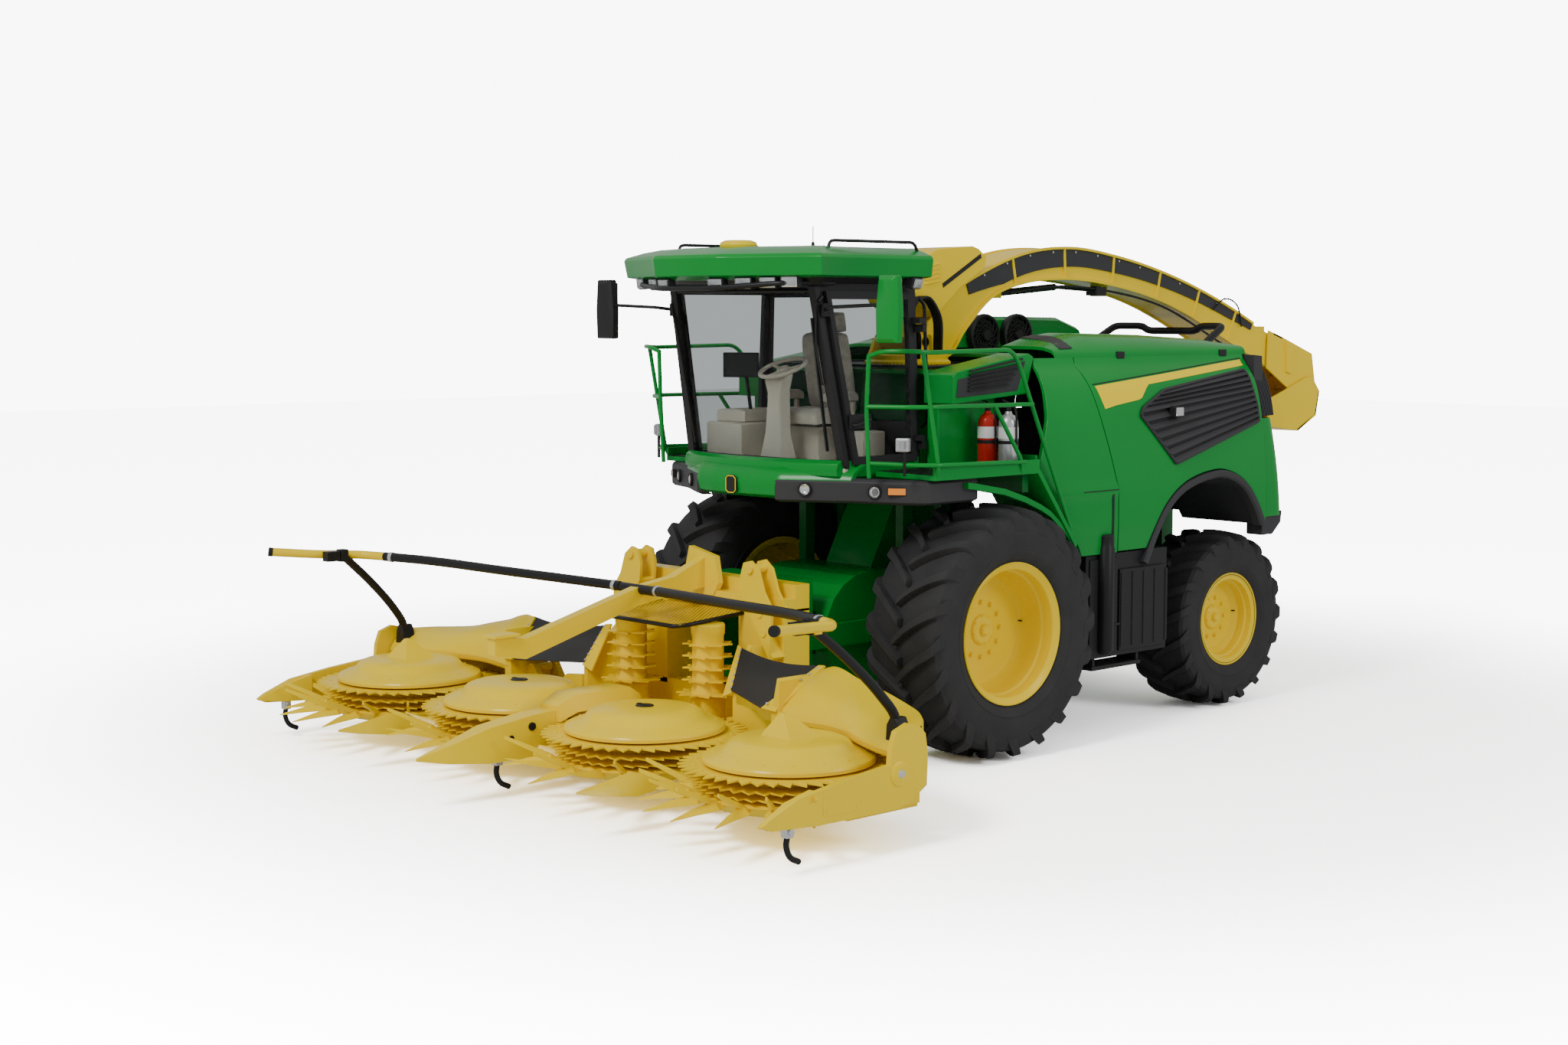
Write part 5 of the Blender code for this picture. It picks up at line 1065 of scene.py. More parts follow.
def hood():
    """Hood with rounded shoulders, a raised crown on each side and a trough for the spout."""
    def section(y, rise):
        half = np.array([(1.222, 3.081), (1.222, 3.105), (1.212, 3.125), (1.185, 3.14 + rise * 0.15),
                         (1.1, 3.146 + rise * 0.6), (1.0, 3.144 + rise * 0.88), (0.9, 3.14 + rise),
                         (0.7, 3.14 + rise), (0.66, 3.136 + rise), (0.635, 3.115 + rise * 0.6), (0.625, 3.1)])
        whole = np.concatenate([half, (half * (-1, 1))[::-1]])
        return np.stack([whole[:, 0], np.full(len(whole), y), whole[:, 1]], 1)
    y = np.linspace(0.92, 3.48, 30)
    rise = np.interp(y, [0.92, 1.15, 1.45, 2.34, 3.1, 3.48], [0.03, 0.09, 0.13, 0.11, 0.07, 0.02])
    top = np.stack([section(a, b) for a, b in zip(y, rise)])
    piece("hood_skin", "machine", green, sheet(top, (0, 0, -0.03)), bevel=0.005, angle=40, replaces=["hood"])
    box_rows = []
    for y0, z0 in ((1.6, 3.24), (1.66, 3.345), (1.92, 3.395), (2.5, 3.4), (3.05, 3.39), (3.34, 3.3),
                   (3.42, 3.16)):
        box_rows.append([(-1.04, y0, 3.13), (-1.035, y0, z0 - 0.035), (-0.99, y0, z0), (-0.58, y0, z0),
                         (-0.535, y0, z0 - 0.03), (-0.53, y0, 3.13)])
    piece("screen_box", "machine", green, lofted(box_rows), bevel=0.01, angle=30)
    for index, y0 in enumerate((1.98, 2.42)):
        ring = turned([(0.15, -0.54), (0.185, -0.535), (0.192, -0.5), (0.188, -0.47), (0.168, -0.462),
                       (0.155, -0.475)], 48, "X", (0, y0, 3.235), ring=True)
        hub = turned([(0, -0.445), (0.045, -0.448), (0.055, -0.47), (0.055, -0.53), (0, -0.53)], 32, "X",
                     (0, y0, 3.235))
        blades = []
        for a in np.linspace(0, TAU, 14, endpoint=False):
            r = np.linspace(0.04, 0.165, 8)
            swirl = a + (r - 0.04) * 7.0
            line = np.stack([np.full_like(r, -0.475), y0 + r * np.cos(swirl), 3.235 + r * np.sin(swirl)], 1)
            blades.append(tube(line, 0.0055, 6, up=(1, 0, 0)))
        rings = [turned([(r - 0.004, -0.48), (r - 0.004, -0.472), (r + 0.004, -0.472), (r + 0.004, -0.48)], 40,
                        "X", (0, y0, 3.235), ring=True) for r in (0.085, 0.12)]
        plate = turned([(0, -0.5), (0.17, -0.5), (0.17, -0.515), (0, -0.515)], 40, "X", (0, y0, 3.235))
        piece("screen_%d" % (index + 1), "machine", black, ring, hub, plate, *blades, *rings)
    strip = []
    for side in (1, -1):
        v = np.linspace(0, 1, 12)[None, :]
        u = np.linspace(0, 1, 4)[:, None]
        x = 1.195 - 0.53 * v + 0 * u
        y = 1.02 + 0.15 * u + 0.13 * v
        rise = np.interp(y, [0.92, 1.15, 1.45, 2.34], [0.03, 0.09, 0.13, 0.11])
        z = 3.142 + rise * np.interp(x, [0.66, 0.9, 1.0, 1.1, 1.185], [1.0, 1.0, 0.88, 0.6, 0.15]) + 0.004
        strip.append(sided(sheet(np.stack([x, y, z], -1), (0, 0, -0.01)), side))
    piece("hood_vent_strips", "machine", charcoal, *strip)
    latches = [sided(block((1.17, 1.235), (y0, y0 + 0.1), (3.06, 3.12)), side) for side in (1, -1)
               for y0 in (1.7, 3.1)]
    piece("hood_hinges", "machine", black, *latches, bevel=0.008)


def rear_panel():
    """Rear end: slatted radiator face, slatted upper corners and green lower corners."""
    body = "machine"
    core = [slab([(3.46, 1.66), (3.7, 1.66), (3.66, 1.9), (3.575, 3.06), (3.46, 3.07)], "X", -1.34, 1.34)]
    slats = []
    for k in range(17):
        z = 1.86 + 0.07 * k
        y = 3.7 - 0.11 * (z - 1.66)
        slats.append(slab([(y - 0.05, z + 0.03), (y + 0.012, z - 0.012), (y + 0.02, z), (y - 0.04, z + 0.042)],
                          "X", -1.12, 1.12))
    frame_bars = [slab([(3.62, 1.66), (3.745, 1.66), (3.715, 1.9), (3.6, 3.07), (3.52, 3.07)], "X", *span)
                  for span in ((-1.2, -1.1), (1.1, 1.2), (-0.03, 0.03))]
    piece("radiator_frame", body, charcoal, *core, *frame_bars, bevel=0.006, replaces=["rear_frame_panel"])
    piece("radiator_slats", body, black, *slats)
    for word, side in SIDES:
        z = np.linspace(1.662, 2.52, 16)[None, :]
        corner = np.linspace(0, 1, 15)[:, None]
        lean = 3.745 - 0.105 * (z - 1.66)
        out = flank(z) - 0.02
        turn = np.clip((corner - 0.45) / 0.25, 0, 1) * math.pi / 2
        x = np.where(corner < 0.45, out, np.where(corner > 0.7,
                                                  out - 0.1 - (corner - 0.7) / 0.3 * (out - 0.1 - 1.16),
                                                  out - 0.1 + 0.1 * np.cos(turn)))
        y = np.where(corner < 0.45, 3.452 + corner / 0.45 * (lean - 0.1 - 3.452),
                     np.where(corner > 0.7, lean, lean - 0.1 + 0.1 * np.sin(turn)))
        skin = np.stack(np.broadcast_arrays(x, y, z + 0 * corner), -1)
        piece("rear_corner_" + word, body, green, sided(sheet(skin, (-0.015, -0.015, 0)), side), bevel=0.004,
              angle=50)
        bars = []
        for k in range(9):
            y0 = 3.465 + 0.024 * k
            zz = np.linspace(2.54, 3.02, 8)
            line = np.stack([flank(zz) - 0.03 - 0.002 * k, y0 + 0 * zz, zz], 1)
            bars.append(carried(line, [(-0.006, -0.02), (0.006, -0.02), (0.006, 0.012), (-0.006, 0.012)],
                                up=(1, 0, 0)))
        piece("rear_corner_slats_" + word, body, charcoal, *on(side, *bars))
        lamp = block((1.2, 1.4), (3.735, 3.765), (1.8, 1.92))
        piece("tail_lamp_" + word, body, red_lens, sided(lamp, side), bevel=0.01)
        lower = sided(slab([(3.44, 1.5), (3.6, 1.5), (3.72, 1.6), (3.735, 1.7), (3.44, 1.7)], "X", 1.3, 1.47),
                      side)
        piece("rear_skirt_" + word, body, charcoal, lower, bevel=0.01)


def filleted(points, radius, steps=5):
    """A line with rounded corners: each one is a quadratic curve between points a radius before and after it."""
    p = np.array(points, float)
    out = [p[:1]]
    t = np.linspace(0, 1, steps)[:, None]
    for a, b, c in zip(p, p[1:], p[2:]):
        ab, cb = a - b, c - b
        s = b + ab / np.linalg.norm(ab) * min(radius, 0.45 * np.linalg.norm(ab))
        e = b + cb / np.linalg.norm(cb) * min(radius, 0.45 * np.linalg.norm(cb))
        out.append((1 - t) ** 2 * s + 2 * t * (1 - t) * b + t ** 2 * e)
    out.append(p[-1:])
    return np.concatenate(out)


def deck():
    """Deck behind the cab: intake ducts with louvres, grating, and the turret's foot."""
    shapes = [block((-0.93, 0.93), (-0.24, 0.9), (2.96, 2.995))]
    for side in (1, -1):
        outline = [(-0.27, 2.74), (-0.27, 2.96), (-0.22, 2.99), (0.6, 3.12), (0.66, 3.09), (0.57, 2.8)]
        shapes += [sided(slab(outline, "X", 0.92, 1.235), side),
                   sided(block((0.94, 1.06), (-0.25, 0.4), (2.2403, 2.78)), side)]
    piece("deck_body", "machine", green, *shapes, bevel=0.012, replaces=["top_deck"])
    blades, back = [], []
    for side in (1, -1):
        rim_face = slab([(-0.24, 2.79), (-0.22, 2.93), (0.55, 3.06), (0.46, 2.83)], "X", 1.236, 1.243)
        back.append(sided(rim_face, side))
        for k in range(6):
            y0, z0 = -0.12 + 0.004 * k, 2.835 + 0.03 * k
            length = 0.46 + 0.035 * k if k < 5 else 0.6
            blades.append(sided(slab([(y0, z0), (y0 + length, z0 + 0.035 + 0.02 * k / 2),
                                      (y0 + length, z0 + 0.05 + 0.02 * k / 2), (y0, z0 + 0.014)], "X", 1.243,
                                     1.262), side))
    piece("intake_faces", "machine", charcoal, *back, bevel=0.004)
    piece("intake_blades", "machine", black, *blades)
    x, y = np.meshgrid([-0.9, 0.9], [-0.22, 0.88], indexing="ij")
    piece("deck_grating", "machine", deck_mesh, sheet(np.stack([x, y, 3.018 + 0 * x], -1), (0, 0, -0.005)))
    edge = [tube(filleted([(-0.9, -0.22, 3.02), (0.9, -0.22, 3.02), (0.9, 0.88, 3.02), (-0.9, 0.88, 3.02),
                           (-0.9, -0.22, 3.02)], 0.02), 0.012, 8)]
    piece("deck_grating_edge", "machine", black_steel, *edge)
    loops = []
    for k in range(4):
        x0 = 0.31 + 0.025 * k
        loops.append(tube([(x0 - 0.08, 0.32, 3.07), (x0, 0.24, 3.26), (x0 + 0.02, 0.15, 3.38),
                           (x0 + 0.01, 0.18, 3.5), (x0, 0.34, 3.56), (x0, 0.47, 3.43), (x0 - 0.02, 0.52, 3.12)],
                          0.013, 10, up=(1, 0, 0), count=40))
    piece("turret_hoses", "spout_turret", hose_rubber, *loops)


def body():
    for word, side in SIDES:
        front_side(word, side)
        service_door(word, side)
        wheel_arch(word, side)
        side_tank(word, side)
    hood()
    rear_panel()
    deck()


# ---------------------------------------------------------------- cab
FLOOR = 2.27              # height of the cab floor
POST_LEAN = 0.0505        # how much the cab narrows on each side for each metre of height
SCREEN_RAKE = 0.1877      # how much the windshield leans forward for each metre of height


def cab_front_y(z):
    """Station of the windshield's side edges at a height."""
    return -1.08 - SCREEN_RAKE * (z - FLOOR)


def lamp(centre, direction, wide, tall, deep=0.07):
    """A rectangular work lamp facing a direction: moulded case, bright bowl and lens. Three shapes."""
    turn = np.array(Vector(direction).to_track_quat("Y", "Z").to_matrix())
    case = block((-wide / 2, wide / 2), (-deep, 0), (-tall / 2, tall / 2))
    bowl = block((-wide * 0.42, wide * 0.42), (-0.01, 0.004), (-tall * 0.38, tall * 0.38))
    lens = lofted([[(-wide * 0.44, y, -tall * 0.4 + k), (wide * 0.44, y, -tall * 0.4 + k),
                    (wide * 0.44, y, tall * 0.4 - k), (-wide * 0.44, y, tall * 0.4 - k)] for y,
                   k in ((0.004, 0.0), (0.01, 0.002))])
    return [(p @ turn.T + np.array(centre), f) for p, f in (case, bowl, lens)]


def cab_glass_panes():
    """Bowed windshield; the flat panes behind and beside it are the frame's own."""
    x = np.linspace(-1, 1, 33)[:, None]
    z = np.linspace(2.325, 3.595, 9)[None, :]
    half = 0.845 - POST_LEAN * (z - FLOOR)
    y = cab_front_y(z) - 0.085 * (1 - x ** 2) + 0.01
    pane = np.stack(np.broadcast_arrays(x * half, y, z + 0 * x), -1)
    piece("windshield_pane", "machine", cab_glass, sheet(pane, (0, 0.006, 0)), replaces=["windshield"])
    bottom = pane[:, 0] + (0, -0.004, -0.008)
    top = pane[:, -1] + (0, -0.004, 0.006)
    seals = [tube(bottom, 0.014, 8), tube(top, 0.016, 8)]
    for side in (1, -1):
        z = np.linspace(2.29, 3.64, 12)
        post = np.stack([side * (0.868 - POST_LEAN * (z - FLOOR)), cab_front_y(z) + 0.012, z], 1)
        seals.append(carried(post, [(-0.036, -0.03), (0.036, -0.03), (0.04, 0.018), (0.02, 0.034),
                                    (-0.02, 0.034), (-0.04, 0.018)], up=(0, 1, 0)))
    piece("windshield_surround", "machine", black, *seals, bevel=0.003)
    wipers = []
    for side in (1, -1):
        arm = tube([(side * 0.835, -1.335, 3.52), (side * 0.8, -1.3, 3.2), (side * 0.8, -1.235, 2.9)], 0.009, 8,
                   count=10)
        blade = carried([(side * (0.79 - 0.03 * k), -1.335 + 0.19 * k, 3.4 - 1.0 * k)
                         for k in (0.0, 0.33, 0.66, 1.0)], [(-0.006, -0.012), (0.006, -0.012), (0.006, 0.012),
                                                            (-0.006, 0.012)], up=(0, 1, 0))
        wipers += [arm, blade, bar((side * 0.835, -1.32, 3.52), (side * 0.835, -1.28, 3.56), 0.022)]
    piece("wipers", "machine", black, *wipers)


def cab_shell():
    """Green sill and rear wall round the black cab frame, door handle and grab rails."""
    t = np.linspace(-1, 1, 41)
    x = 0.88 * t
    y = -1.135 - 0.19 * (1 - np.abs(t) ** 2.2)
    rows = []
    for dy, z in ((0.03, 2.205), (-0.02, 2.215), (-0.03, 2.26), (-0.015, 2.31), (0.03, 2.335), (0.1, 2.325),
                  (0.1, 2.205)):
        rows.append(np.stack([x, y + dy, np.full_like(x, z)], 1))
    sill = np.stack(rows, 1)
    p, f = grid(sill, wrap_v=True)
    n = len(rows)
    f += [tuple(range(n)), tuple((len(t) - 1) * n + i for i in range(n))[::-1]]
    wall = block((-0.86, 0.86), (-0.288, -0.268), (2.275, 2.6))
    sides = both(block((0.888, 0.905), (-1.05, -0.3), (2.205, 2.33)))
    piece("cab_sill", "machine", green, (p, f), wall, *sides, bevel=0.004)
    handle = [tube(filleted([(0.945, -1.06, 2.6), (0.985, -1.05, 2.6), (0.985, -0.9, 2.64),
                             (0.945, -0.88, 2.64)], 0.02), 0.011, 10),
              block((0.925, 0.945), (-1.08, -0.86), (2.57, 2.68))]
    piece("door_handle", "cab_door", black, *handle, bevel=0.004)
    roof_guard = tube(filleted([(-0.8, -1.3, 3.7), (-0.86, -1.64, 3.66), (-0.3, -1.9, 3.62), (0.3, -1.9, 3.62),
                                (0.86, -1.64, 3.66), (0.88, -1.2, 3.66)], 0.12), 0.02, 12)
    grab = [tube(filleted([(0.8, -0.2, 3.55), (0.8, -0.14, 3.5), (0.84, -0.14, 2.6), (0.84, -0.2, 2.55)], 0.04),
                 0.014, 10)]
    piece("cab_guard_tubes", "machine", black_steel, roof_guard, *grab)


def roof():
    """Faceted roof cap with a deep visor, lamp panels under it, side rail, receiver and aerial."""
    def ring(z, grow, front, nose):
        half = [(0.95 + grow, -0.26), (0.97 + grow, -0.95), (1.01 + grow, -1.3), (1.08 + grow, -1.54 - front),
                (0.98 + grow * 0.6, -1.6 - front), (0.46, -1.8 - front - nose), (0.36, -1.86 - front - nose),
                (0.12, -1.88 - front - nose)]
        whole = np.array(half + [(-x, y) for x, y in half[::-1]])
        return np.column_stack([whole, np.full(len(whole), z)])
    rows = [ring(3.7, -0.02, -0.05, -0.02), ring(3.712, 0.045, 0.01, 0.02), ring(3.845, 0.062, 0.03, 0.02),
            ring(3.87, 0.045, 0.02, 0.01), ring(3.905, -0.05, -0.07, -0.04), ring(3.932, -0.16, -0.2, -0.06),
            ring(3.938, -0.45, -0.5, -0.06)]
    rows[0][:, 2] -= 0.02 * (np.abs(rows[0][:, 0]) < 0.5)
    crown = [(x * 0.6, y * 0.75 - 0.15, 3.945) for x, y, z in rows[-1]]
    piece("roof_cap", "machine", green, lofted([*rows, crown]), bevel=0.01, segments=3, angle=14,
          replaces=["cab_roof"])
    under = ring(3.705, -0.07, -0.12, -0.05)
    low = under * (1, 1, 0) + (0, 0, 3.655)
    low[:, 0] *= 0.93
    low[:, 1] = low[:, 1] * 0.97 - 0.01
    piece("roof_underside", "machine", black, lofted([under, low]), bevel=0.01)
    cases, bowls, lenses = [], [], []
    spots = [((0.86, -1.63, 3.665), (0.35, -1, -0.12)), ((0.7, -1.7, 3.66), (0.3, -1, -0.12)),
             ((0.52, -1.78, 3.655), (0.3, -1, -0.12)), ((0.3, -1.86, 3.65), (0.15, -1, -0.12)),
             ((-0.3, -1.86, 3.65), (-0.15, -1, -0.12)), ((-0.52, -1.78, 3.655), (-0.3, -1, -0.12)),
             ((-0.86, -1.63, 3.665), (-0.35, -1, -0.12)), ((0.98, -0.4, 3.66), (1, 0.3, -0.3)),
             ((-0.98, -0.4, 3.66), (-1, 0.3, -0.3))]
    for centre, way in spots:
        a, b, c = lamp(centre, way, 0.15, 0.095)
        cases.append(a), bowls.append(b), lenses.append(c)
    piece("roof_lamp_cases", "machine", black, *cases, bevel=0.012)
    piece("roof_lamp_bowls", "machine", lamp_bowl, *bowls, bevel=0.008)
    piece("roof_lamp_lenses", "machine", lamp_glass, *lenses, bevel=0.002)
    rail = [tube(filleted([(0.86, -1.24, 3.9), (0.86, -1.22, 3.975), (0.88, -0.34, 3.975), (0.88, -0.3, 3.89)],
                          0.05), 0.013, 10)]
    aerial = [tube([(0.3, -0.86, 3.93), (0.3, -0.86, 4.1)], 0.004, 8, up=(0, 1, 0)),
              turned([(0, 3.985), (0.012, 3.98), (0.016, 3.94), (0.03, 3.93), (0, 3.93)], 20,
                     centre=(0.3, -0.86, 0))]
    piece("roof_rail_aerial", "machine", black_steel, *rail, *[sided(r, -1) for r in rail], *aerial)
    receiver = turned([(0, 3.99), (0.1, 3.986), (0.135, 3.972), (0.145, 3.95), (0.14, 3.93), (0, 3.93)], 40,
                      centre=(0.1, -1.45, 0))
    piece("receiver_dome", "machine", yellow, receiver)


def interior():
    """Seat with bolstered cushions, console, steering column with a spoked wheel, and the monitor."""
    def pad(x0, x1, y0, y1, z0, z1, crown):
        u = np.linspace(-1, 1, 17)[:, None]
        v = np.linspace(-1, 1, 17)[None, :]
        x = (x0 + x1) / 2 + (x1 - x0) / 2 * u * (1 - 0.06 * v ** 4)
        y = (y0 + y1) / 2 + (y1 - y0) / 2 * v * (1 - 0.06 * u ** 4)
        edge = (1 - u ** 6) * (1 - v ** 6)
        z = z1 - crown + crown * edge + 0.02 * np.abs(u) ** 2 * edge - 0.012 * np.exp(-(v * 5) ** 2) * edge
        return sheet(np.stack(np.broadcast_arrays(x, y, z), -1), (0, 0, -(z1 - z0 - crown)))
    cushion = pad(-0.26, 0.26, -0.8, -0.38, 2.55, 2.69, 0.05)
    back = spun(pad(-0.25, 0.25, -0.33, 0.33, -0.05, 0.06, 0.04), "X", 100)
    back = moved(back, (0, -0.405, 2.96))
    head = spun(pad(-0.14, 0.14, -0.08, 0.08, -0.04, 0.05, 0.03), "X", 100)
    head = moved(head, (0, -0.375, 3.36))
    arms = [pad(x0, x1, -0.74, -0.4, 2.74, 2.82, 0.025) for x0, x1 in ((0.27, 0.35), (-0.37, -0.27))]
    seat = piece("seat_pads", "machine", seat_cloth, cushion, back, head, *arms, subdivide=1, angle=80,
                 replaces=["operator_seat"])
    base = [lofted([[(-0.2 * k, -0.6 - 0.1 * k, z), (0.2 * k, -0.6 - 0.1 * k, z),
                     (0.2 * k, -0.56 + 0.12 * k, z), (-0.2 * k, -0.56 + 0.12 * k, z)] for k,
                    z in ((1.0, 2.275), (0.85, 2.33), (0.8, 2.48), (1.15, 2.545))]),
            block((0.29, 0.33), (-0.46, -0.42), (2.6, 2.75)),
            block((-0.35, -0.31), (-0.46, -0.42), (2.6, 2.75)),
            block((-0.86, -0.44), (-0.95, -0.34), (2.275, 2.56)),
            block((-0.84, -0.5), (-0.86, -0.4), (2.56, 2.66)),
            block((0.44, 0.6), (-0.62, -0.36), (2.275, 2.52)),
            lofted([[(-0.13, -1.04, 2.275), (0.13, -1.04, 2.275), (0.13, -0.86, 2.275), (-0.13, -0.86, 2.275)],
                    [(-0.09, -1.01, 2.5), (0.09, -1.01, 2.5), (0.09, -0.89, 2.5), (-0.09, -0.89, 2.5)],
                    [(-0.07, -1.0, 2.8), (0.07, -1.0, 2.8), (0.07, -0.88, 2.84), (-0.07, -0.88, 2.84)],
                    [(-0.1, -1.01, 2.92), (0.1, -1.01, 2.92), (0.1, -0.87, 2.97), (-0.1, -0.87, 2.97)]]),
            block((-0.895, 0.895), (-1.1, -0.29), (2.235, 2.274))]
    piece("cab_consoles", "machine", cab_lining, *base, bevel=0.016, segments=3, replaces=["cab_floor"])
    a = np.linspace(0, TAU, 49)[:-1]
    ring = np.stack([0.185 * np.cos(a), 0.185 * np.sin(a), 0 * a], 1)
    rim_tube = grid(np.stack([ring + 0.017 * (np.cos(b) * np.stack([np.cos(a), np.sin(a), 0 * a],
            1) + np.sin(b) * np.array([0, 0, 1])) for b in np.linspace(0, TAU, 12, endpoint=False)], 1),
                    wrap_u=True, wrap_v=True)
    spokes = [tube([(0, 0, -0.02), (0.18 * math.cos(b), 0.18 * math.sin(b), 0)], 0.013, 8)
              for b in (0.3, math.pi - 0.3, -math.pi / 2)]
    hub = turned([(0, 0.006), (0.045, 0.004), (0.055, -0.012), (0.04, -0.05), (0, -0.05)], 24)
    wheel = [moved(spun(s, "X", 22), (0, -0.9, 3.01)) for s in (rim_tube, *spokes, hub)]
    piece("steering_wheel", "machine", cab_lining, *wheel)
    monitor = [moved(spun(block((-0.15, 0.15), (-0.018, 0.018), (-0.1, 0.1)), "Z", 28), (-0.58, -0.82, 3.02)),
               tube([(-0.6, -0.7, 2.66), (-0.6, -0.74, 2.9), (-0.58, -0.8, 3.0)], 0.016, 8),
               tube([(-0.42, -0.66, 2.82), (-0.42, -0.7, 2.94)], 0.022, 10, up=(0, 1, 0))]
    piece("monitor_case", "machine", black, *monitor, bevel=0.006)
    glass = moved(spun(block((-0.135, 0.135), (0.018, 0.022), (-0.085, 0.085)), "Z", 28), (-0.58, -0.82, 3.02))
    piece("monitor_screen", "machine", screen, glass)


def bumper():
    """Green apron with a blank badge between dark moulded corners that carry the lamps."""
    def outline(inset):
        half = [(1.49 - inset, -0.28), (1.49 - inset, -0.79), (1.36 - inset * 0.7, -0.9), (0.95, -1.09 + inset),
                (0.62, -1.3 + inset), (0.45, -1.4 + inset), (0.25, -1.425 + inset), (0.0, -1.432 + inset)]
        return np.array(half)
    def band(levels, pick):
        rows = []
        for inset, z in levels:
            o = outline(inset)
            rows.append(np.column_stack([o, np.full(len(o), z)])[pick])
        return rows
    corner = [(0.05, 2.012), (0.0, 2.03), (-0.0, 2.175), (0.03, 2.1985)]
    shapes = []
    rows = np.stack(band(corner, slice(0, 6)))
    for side in (1, -1):
        shapes.append(sided(sheet(rows, (-0.055, 0.075, 0)), side))
    piece("bumper_corners", "machine", charcoal, *shapes, bevel=0.008, replaces=["light_bumper"])
    middle = np.stack(band([(0.06, 2.035), (0.015, 2.06), (0.0, 2.16), (0.03, 2.235), (0.13, 2.3)],
                           slice(3, 8)))
    mirror_half = (middle * (-1, 1, 1))[:, -2::-1]
    apron = np.concatenate([middle, mirror_half], axis=1)
    apron = np.stack([np.stack([np.interp(np.linspace(0, 1, 41), np.linspace(0, 1, 9), row[:, i])
                                for i in range(3)], 1) for row in apron])
    piece("apron", "machine", green, sheet(apron, (0, 0.05, 0.0)), bevel=0.005, angle=50)
    shelf = slab([(1.49, -0.28), (1.46, -0.79), (0.95, -1.05), (0.45, -1.3), (-0.45, -1.3), (-0.95, -1.05),
                  (-1.46, -0.79), (-1.49, -0.28), (-1.39, -0.28), (-1.39, -0.73), (-0.9, -0.99), (-0.62, -1.0),
                  (0.62, -1.0), (0.9, -0.99), (1.39, -0.73), (1.39, -0.28)], "Z", 2.1, 2.195)
    piece("bumper_shelf", "machine", black, shelf)
    badge = [lofted([[(0.062 * a, y, 2.125 + 0.072 * b) for a, b in ((-1, -0.7), (-0.55, -1), (0.55, -1),
            (1, -0.7), (1, 0.7), (0.55, 1), (-0.55, 1), (-1, 0.7))] for y in (-1.436, -1.446)])]
    piece("badge_plate", "machine", black, *badge, bevel=0.003)
    piece("badge_rim", "machine", stripe_yellow, tube([(0.055 * a, -1.447, 2.125 + 0.064 * b) for a,
                                                       b in ((-1, -0.7), (-0.55, -1), (0.55, -1), (1, -0.7),
                                                             (1, 0.7), (0.55, 1), (-0.55, 1), (-1, 0.7),
                                                             (-1, -0.7))], 0.004, 6, up=(0, 1, 0)))
    rings, bowls, lenses, ambers = [], [], [], []
    for side in (1, -1):
        for x, y, z, way in ((0.66, -1.285, 2.115, (0.5, -0.9, 0)), (1.13, -1.01, 2.105, (0.5, -0.9, 0))):
            turn = np.array(Vector(way).to_track_quat("Z", "Y").to_matrix())
            for store, shape in ((rings, turned([(0.04, -0.02), (0.052, -0.02), (0.055, 0.012), (0.046, 0.018),
                                                 (0.04, 0.01)], 32, ring=True)),
                                 (bowls, turned([(0, -0.008), (0.025, -0.004), (0.041, 0.008), (0.041, -0.015),
                                                 (0, -0.015)], 32)),
                                 (lenses, turned([(0, 0.02), (0.025, 0.017), (0.041, 0.01), (0.041, 0.006),
                                                  (0, 0.006)], 32))):
                store.append(sided((shape[0] @ turn.T + np.array((x, y, z)), shape[1]), side))
        turn = lamp((1.3, -0.945, 2.115), (0.62, -0.8, 0), 0.15, 0.065, 0.03)
        rings.append(sided(turn[0], side))
        ambers.append(sided(turn[2], side)), bowls.append(sided(turn[1], side))
    piece("bumper_lamp_rings", "machine", black, *rings, bevel=0.004)
    piece("bumper_lamp_bowls", "machine", lamp_bowl, *bowls)
    piece("bumper_lamp_lenses", "machine", lamp_glass, *lenses)
    piece("turn_indicators", "machine", amber, *ambers, bevel=0.004)


